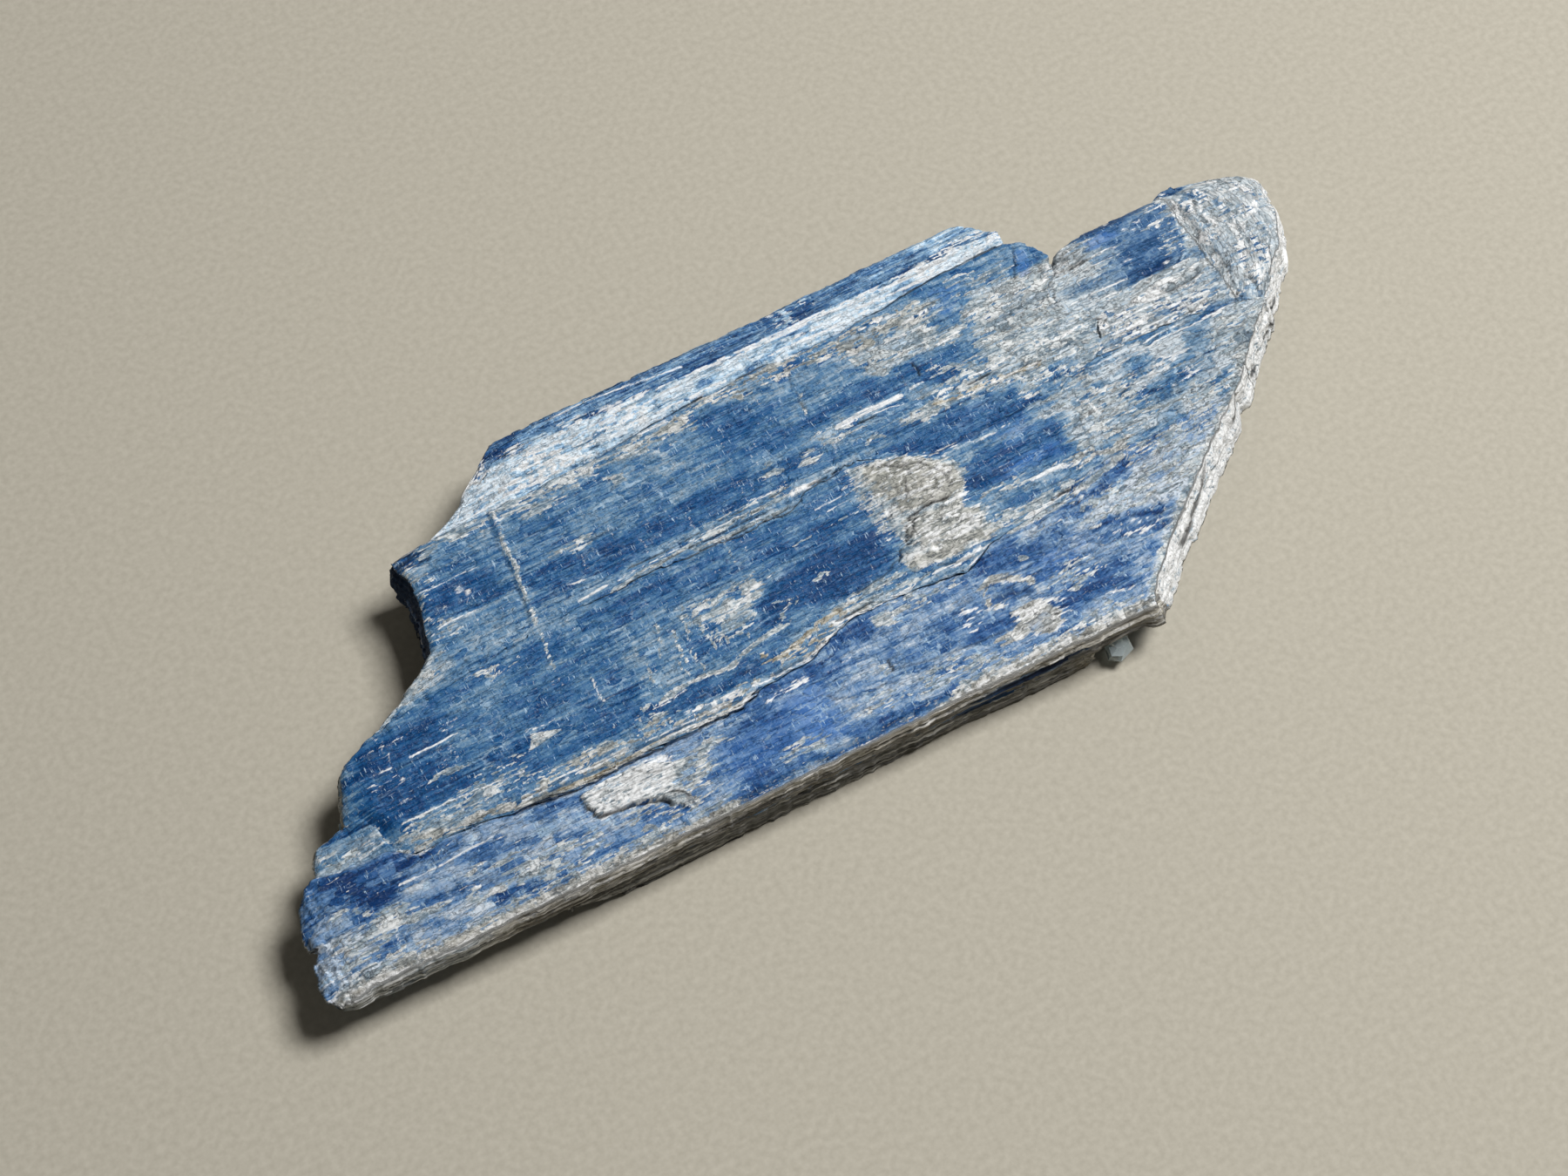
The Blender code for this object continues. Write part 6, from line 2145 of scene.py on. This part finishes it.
@dataclass
class RearBlade(Blade):
    """The long narrow blade behind: a silvery face in front of its ridge, whose pale tones and white flakes
    are partly painted sheen, and a dark blue one behind.
    """

    name: str = "rear_blade"
    slot: str = "pearly_kyanite"
    front: Edge = REAR_PARTING
    rear: Edge = Edge(
        (16.3, 23.5, 18.4, 23.8, 18.9, 24.6, 19.4, 25.2, 20.4, 25.6, 21, 26.4, 21.6, 27.1, 22.6, 27.4,
        28, 27.45, 40, 27.5, 47, 27.75, 52.5, 27.85, 54.4, 27.75), 180, 0.05
    )
    left: Edge = Edge(
        (22.9, 16.3, 23.4, 16.6, 23.6, 18.5, 24, 18.8, 24.8, 19.2, 25.1, 20.3, 26, 20.9, 27.2, 22.2), 183,
        0.08
    )
    right: Edge = Edge((24.9, 54.8, 25.5, 55, 26.1, 54.4, 27, 54.2, 27.8, 53.4), 186, 0.08)
    top: float = 5.3
    floor: float = 0.6
    depth: float = 0.13
    relief: float = 1.6
    ridge: float = 25.5
    flare: Row = (0.0, 0.2, 0.1, 0.6)
    marks: tuple[Mark, ...] = (
        # Pale tones on the face in front of the ridge: partly the pale stone, partly painted sheen.
        *tones((0.3, 19, 20, 24, 25), (0.28, 22, 28, 24.6, 25.6), (0.26, 31, 40.2, 24.2, 25.9),
            (0.2, 39, 50, 24.6, 25.8)),
        *tones((0.68, 19.5, 55, 25.5, 28.5), jag=0.08, soft=0.6),
        *tones((0.84, 20.6, 23.4, 25.3, 26.6), soft=1),
        *tones((0.58, 24, 34.4, 25.6, 26.6), (0.86, 19.5, 24, 26.6, 27.5), (0.62, 43, 51, 25.9, 27.4),
            (0.74, 36, 40.1, 25.6, 27.4), (0.84, 41.3, 43, 25.6, 27.4), (0.34, 50.6, 54.6, 26.1, 27.9)),
        *clays((0.35, 17, 28, 23.2, 26), (0.5, 49, 55.2, 25, 26.2), (0.6, 41.8, 43.4, 27, 27.4)),
        *clays((0.9, 40.9, 41.4, 25.6, 27.4), jag=0.3),
        *clays((0.7, 40.2, 40.6, 25.6, 27.4), jag=0.3, lean=0.3),
        # White flakes on the front face: partly splinters, partly painted sheen.
        *flakes_and_highlights((0.5, 17, 28, 23.2, 26), (0.8, 28.2, 31.2, 23.8, 26), (0.7, 49, 55.2, 24.9, 26.2),
            (0.6, 21.1, 21.7, 25.8, 26.3)),
        *blocks(Z, (0.7, 17, 29, 23.2, 26), (0.4, 29, 55, 23.2, 26)),
        # White lines along the front face and the ridge: partly splinters, partly painted sheen.
        *lines(F, (0.16, 21, 25.35, 28, 25.4, 40, 25.42, 54, 25.5), cover=0.75, jag=0.4),
        *lines(F, (0.2, 40, 24.75, 54.8, 24.75), (0.16, 36, 25.2, 46, 25.2), (0.2, 44, 25.2, 55, 25.2),
            (0.3, 18, 23.4, 24, 23.4), (0.2, 23, 25, 34, 25), (0.2, 34, 25.3, 47, 25.3),
            (0.25, 16.4, 23.3, 20.6, 23.3), (0.3, 21, 24.4, 24, 24.4), (0.2, 39, 24.35, 50, 24.35),
            (0.2, 30, 24.1, 36, 24.1), cover=0.85, jag=0.6),
        *lines(F, (0.2, 16.6, 23.2, 20, 23.3), cover=0.9, jag=0.4),
        *lines(F, (0.15, 25.8, 26.95, 28, 27.05, 30, 26.95, 32, 26.6, 34.2, 26.3), jag=0.3),
        *lines(G, (0.14, 23.6, 27.3, 30, 27.35, 37, 27.38), jag=0.2, value=0.8),
        *lines(G, (0.08, 19.2, 24.9, 21.8, 24.75), (0.08, 19.4, 25.3, 20.8, 25.2),
            (0.08, 18.9, 24.2, 19.4, 24.6), (0.08, 22, 23.9, 24.2, 24), (0.08, 24.6, 24.4, 26.6, 24.7),
            (0.08, 21, 25.5, 24, 25.3), (0.08, 18.4, 23.6, 21.4, 23.7), (0.08, 27.4, 24.6, 28.6, 25.4),
            (0.08, 29.2, 25.2, 31.6, 25.3), (0.08, 32, 25, 36, 25.1), (0.08, 37, 24.9, 41, 25),
            (0.08, 43, 25.1, 47, 25), (0.08, 44.6, 25.7, 46, 24.4), (0.08, 47.4, 24.7, 49.6, 26.3),
            (0.08, 48, 25.2, 52, 25.2), jag=0.6, value=0.5),
        *lines(G, (0.05, 44.8, 25.6, 45.6, 24.7), value=0.4),
        *lines(G, (0.06, 24.5, 25.15, 27, 24.95), (0.06, 26.2, 24, 27.3, 24.6, 28.4, 25.7), value=0.5),
    )

    def level(self, x: Array, y: Array) -> Array:
        """Two faces that meet in a ridge: one falls gently to the front, one steeply to the back.

        Args:
            x: millimetres along the blades.
            y: millimetres across the blades.

        Returns:
            Heights in millimetres.
        """
        front = 0.16 * (self.ridge - y)
        back = 0.55 * (y - self.ridge)
        end = 0.55 * (1 - rise(16.5, 22.5, x))
        return self.top - np.maximum(front, back) - end

    def dress_wall(self, rim: Rim, x: Array, y: Array, z: Array, fields: Fields) -> None:
        """The back wall is blue under its stain.

        Args:
            rim: the loop round the top.
            x: millimetres along the blades.
            y: millimetres across the blades.
            z: height.
            fields: what each kind of mark has done, to change here.
        """
        back = y > 26.0
        fields.values[T][back] = 0.75
        fields.values[C][back] *= 0.5
        fields.values[G][back] = np.maximum(fields.values[G], 0.25)[back]


@dataclass
class FrontUnderBlade(Blade):
    """The dark laminated blade under the front one."""

    name: str = "front_under_blade"
    slot: str = "stained_kyanite"
    front: Edge = Edge((12, 0.7, 15, 0.5, 36, 0.45, 46.4, 0.25, 47.4, 0.4), 190, 0.05)
    rear: Edge = Edge((12, 5.2, 47.4, 5.2), 193, 0.05)
    left: Edge = Edge((0.7, 13.6, 3, 14.8, 5.2, 15.6), 196, 0.4)
    right: Edge = Edge((0.4, 46.6, 1.4, 47.2, 3, 46.6, 5.2, 46.9), 199, 0.25)
    top: float = 2.4
    floor: float = 0.0
    depth: float = 0.5
    relief: float = 0.2
    flare: Row = (-0.02, -0.2, 0.0, -0.9)
    cell_across: float = 0.3
    cell_down: float = 0.07
    lamina: float = 0.3

    def foot(self, rim: Rim) -> Array:
        """The underside rises to the left, where only the upper laminae reach."""
        return 1.5 * (1 - rise(13.4, 18.5, rim.x)) + 0.5 * rise(45.6, 46.8, rim.x)

    def dress_wall(self, rim: Rim, x: Array, y: Array, z: Array, fields: Fields) -> None:
        """Navy and brown-black stain with thin pale threads; the right end is splintered and tan.

        Args:
            rim: the loop round the top.
            x: millimetres along the blades.
            y: millimetres across the blades.
            z: height.
            fields: what each kind of mark has done, to change here.
        """
        values = fields.values
        end = rise(44.4, 46.2, x)
        threads = rise(0.55, 0.8, Laths(201, 3.0, 0.12).at(x, z))
        values[C] = 0.9 + 0 * x
        values[W] = 0.75 + 0.2 * end
        values[T] = 0.7 + 0 * x
        values[G] = np.clip(0.80 - 0.5 * threads, 0, 1) * (1 - 0.85 * end)
        lens = np.exp(-(((x - 41.0) / 4.6) ** 4) - ((z - 2.3) / 0.8) ** 4)
        values[C] *= 1 - 0.75 * lens
        values[T] += 0.3 * lens
        values[G] = np.maximum(values[G], 0.82 * lens * (1 - 0.5 * threads))
        values[F] = 0.3 * values[F] + 0.25 * end * threads


@dataclass
class RearUnderBlade(Blade):
    """The broad blade that carries the others, seen dark under the left end and the right edge."""

    name: str = "rear_under_blade"
    slot: str = "stained_kyanite"
    front: Edge = Edge((12, 5.2, 47, 5.2, 55, 5.3, 70, 5.3), 203, 0.05)
    rear: Edge = Edge((12, 22.3, 24, 22.4, 40, 23.1, 56, 22.4, 70, 22), 206, 0.05)
    left: Edge = Edge(
        (5.1, 15.4, 8.4, 15, 11.5, 14.6, 14.8, 14.8, 17, 14.6, 19.5, 14.7, 21.4, 14.9, 22.5, 15.4), 209,
        0.2
    )
    right: Edge = Edge(
        (5.3, 55.4, 7.4, 57.9, 9.2, 60.4, 11, 62.9, 13.9, 65.9, 16.6, 68.4, 18.6, 69.4, 20.8, 69.1,
        22.3, 67), 212, 0.2
    )
    top: float = 2.4
    floor: float = 0.0
    depth: float = 0.55
    relief: float = 0.2
    flare: Row = (0.0, -0.5, 0.0, -0.4)
    cell_along: float = 0.2
    cell_across: float = 0.35
    cell_down: float = 0.1
    lamina: float = 0.3

    def dress_wall(self, rim: Rim, x: Array, y: Array, z: Array, fields: Fields) -> None:
        """Darker stain in every second lamina.

        Args:
            rim: the loop round the top.
            x: millimetres along the blades.
            y: millimetres across the blades.
            z: height.
            fields: what each kind of mark has done, to change here.
        """
        values = fields.values
        values[G] = np.maximum(values[G], 0.55 * rise(0.4, 0.7, Laths(215, 4.0, 0.3).at(x + y, z)))
        values[T] = values[T] + 0.2


@dataclass
class Chip:
    """The small clear splinter at the foot of the side wall: a rough crystal with six flat sides."""

    name: str = "chip"
    slot: str = "clear_chip"
    middle: tuple[float, float] = (48.1, 0.2)
    turns: tuple[float, ...] = (10.0, 62.0, 124.0, 190.0, 238.0, 312.0)
    heights: tuple[float, ...] = (0.0, 0.35, 0.95, 1.3, 1.5)
    reach: tuple[float, ...] = (0.40, 0.66, 0.86, 0.74, 0.34)

    def build(self) -> bpy.types.Object:
        """Make a ring of six corners at each height. A corner stands at its own turn, moved on a
        little from ring to ring, and at the ring's reach times a sway of its own.

        Returns:
            The finished object.
        """
        rings, sides = len(self.heights), len(self.turns)
        level = np.arange(rings)[:, None]
        turn = np.radians(self.turns)[None, :] + 0.13 * level
        sway = 1 + 0.16 * np.sin(2.4 * level + 2.1 * np.arange(sides))
        reach = np.array(self.reach)[:, None] * sway
        x = self.middle[0] + reach * np.cos(turn)
        y = self.middle[1] + 0.9 * reach * np.sin(turn)
        z = np.array(self.heights)[:, None] + 0.12 * (level > 1) * np.sin(turn)
        points = np.stack([x, y, z], axis=-1).reshape(-1, 3)
        number = np.arange(rings * sides).reshape(rings, sides)
        ahead = np.roll(number, -1, axis=1)
        skin = np.stack([number[:-1], ahead[:-1], ahead[1:], number[1:]], axis=-1).reshape(-1, 4)
        lid = number[-1][[[0, 1, 2, 3], [0, 3, 4, 5]]]
        base = number[0][[[3, 2, 1, 0], [5, 4, 3, 0]]]
        quads = np.concatenate([skin, lid, base])
        piece = make_piece(self.name, self.slot, points, quads, {}, points)
        piece.data.polygons.foreach_set("use_smooth", np.zeros(len(piece.data.polygons), bool))
        return piece


@dataclass
class Cluster:
    """The whole cluster: its blades in the order they are made, and their finishes."""

    def build(self) -> None:
        """Make every blade, give it its finish and say how large it is."""
        violet = depths("#D6E0EA", "#B5C5D6", "#8FA9C8", "#6389B4", "#3F6CA2", "#1F528C", "#0A366C")
        # Blues of the rear blade, paler than the others, partly as painted sheen.
        pale_blues_and_painted_sheen = depths("#EAF6FF", "#C5E1F5", "#98BFE0", "#638EBA", "#3D6B9C", "#1F528A", "#0A366C")
        slate = depths("#D6DFE4", "#B6C4CE", "#93A9BB", "#6A8BAC", "#47709C", "#295888", "#103E70")
        straw = ((0.22, "#857D6D"), (0.40, "#B7AE9B"), (0.56, "#DBD5C8"), (0.78, "#FBF8F1"))
        # Silvery whites of the rear blade, partly painted sheen.
        silver_whites_and_painted_sheen = ((0.25, "#88B0D2"), (0.46, "#CEE8F8"), (0.62, "#FCFEFF"))
        chalk = ((0.22, "#7B8992"), (0.40, "#B0BBC1"), (0.54, "#DCE2E4"), (0.70, "#FDFDFB"))
        short = (1.1, 0.11, 4.0)
        pale = CleavedKyanite(
            "pale_cleaved_kyanite", violet, warm_clay=straw, stain="#1F1A14", lines=short
        ).build()
        deep = CleavedKyanite("deep_cleaved_kyanite", gloss=0.26).build()
        pearly = CleavedKyanite(
            "pearly_kyanite", pale_blues_and_painted_sheen, whites=silver_whites_and_painted_sheen, cool_clay=silver_whites_and_painted_sheen, gloss=0.30
        ).build()
        bent = CleavedKyanite("bent_kyanite", slate, cool_clay=chalk, lines=short, gloss=0.34).build()
        stained = CleavedKyanite("stained_kyanite", gloss=0.55).build()
        clear = ClearKyanite().build()
        finishes = (
            (FrontBlade(), pale),
            (CornerBlade(), deep),
            (MiddleBlade(), deep),
            (UpperBlade(), deep),
            (EndBlade(), bent),
            (RearBlade(), pearly),
            (FrontUnderBlade(), stained),
            (RearUnderBlade(), stained),
            (Chip(), clear),
        )
        for blade, finish in finishes:
            piece = blade.build()
            piece.data.materials.append(finish)
            LOG.info("%s: %d faces", piece.name, len(piece.data.polygons))


def main() -> None:
    """Build the cluster and its studio."""
    logging.basicConfig(level=logging.INFO, format="%(message)s")
    Cluster().build()
    Studio().build()


if __name__ == "__main__":
    main()
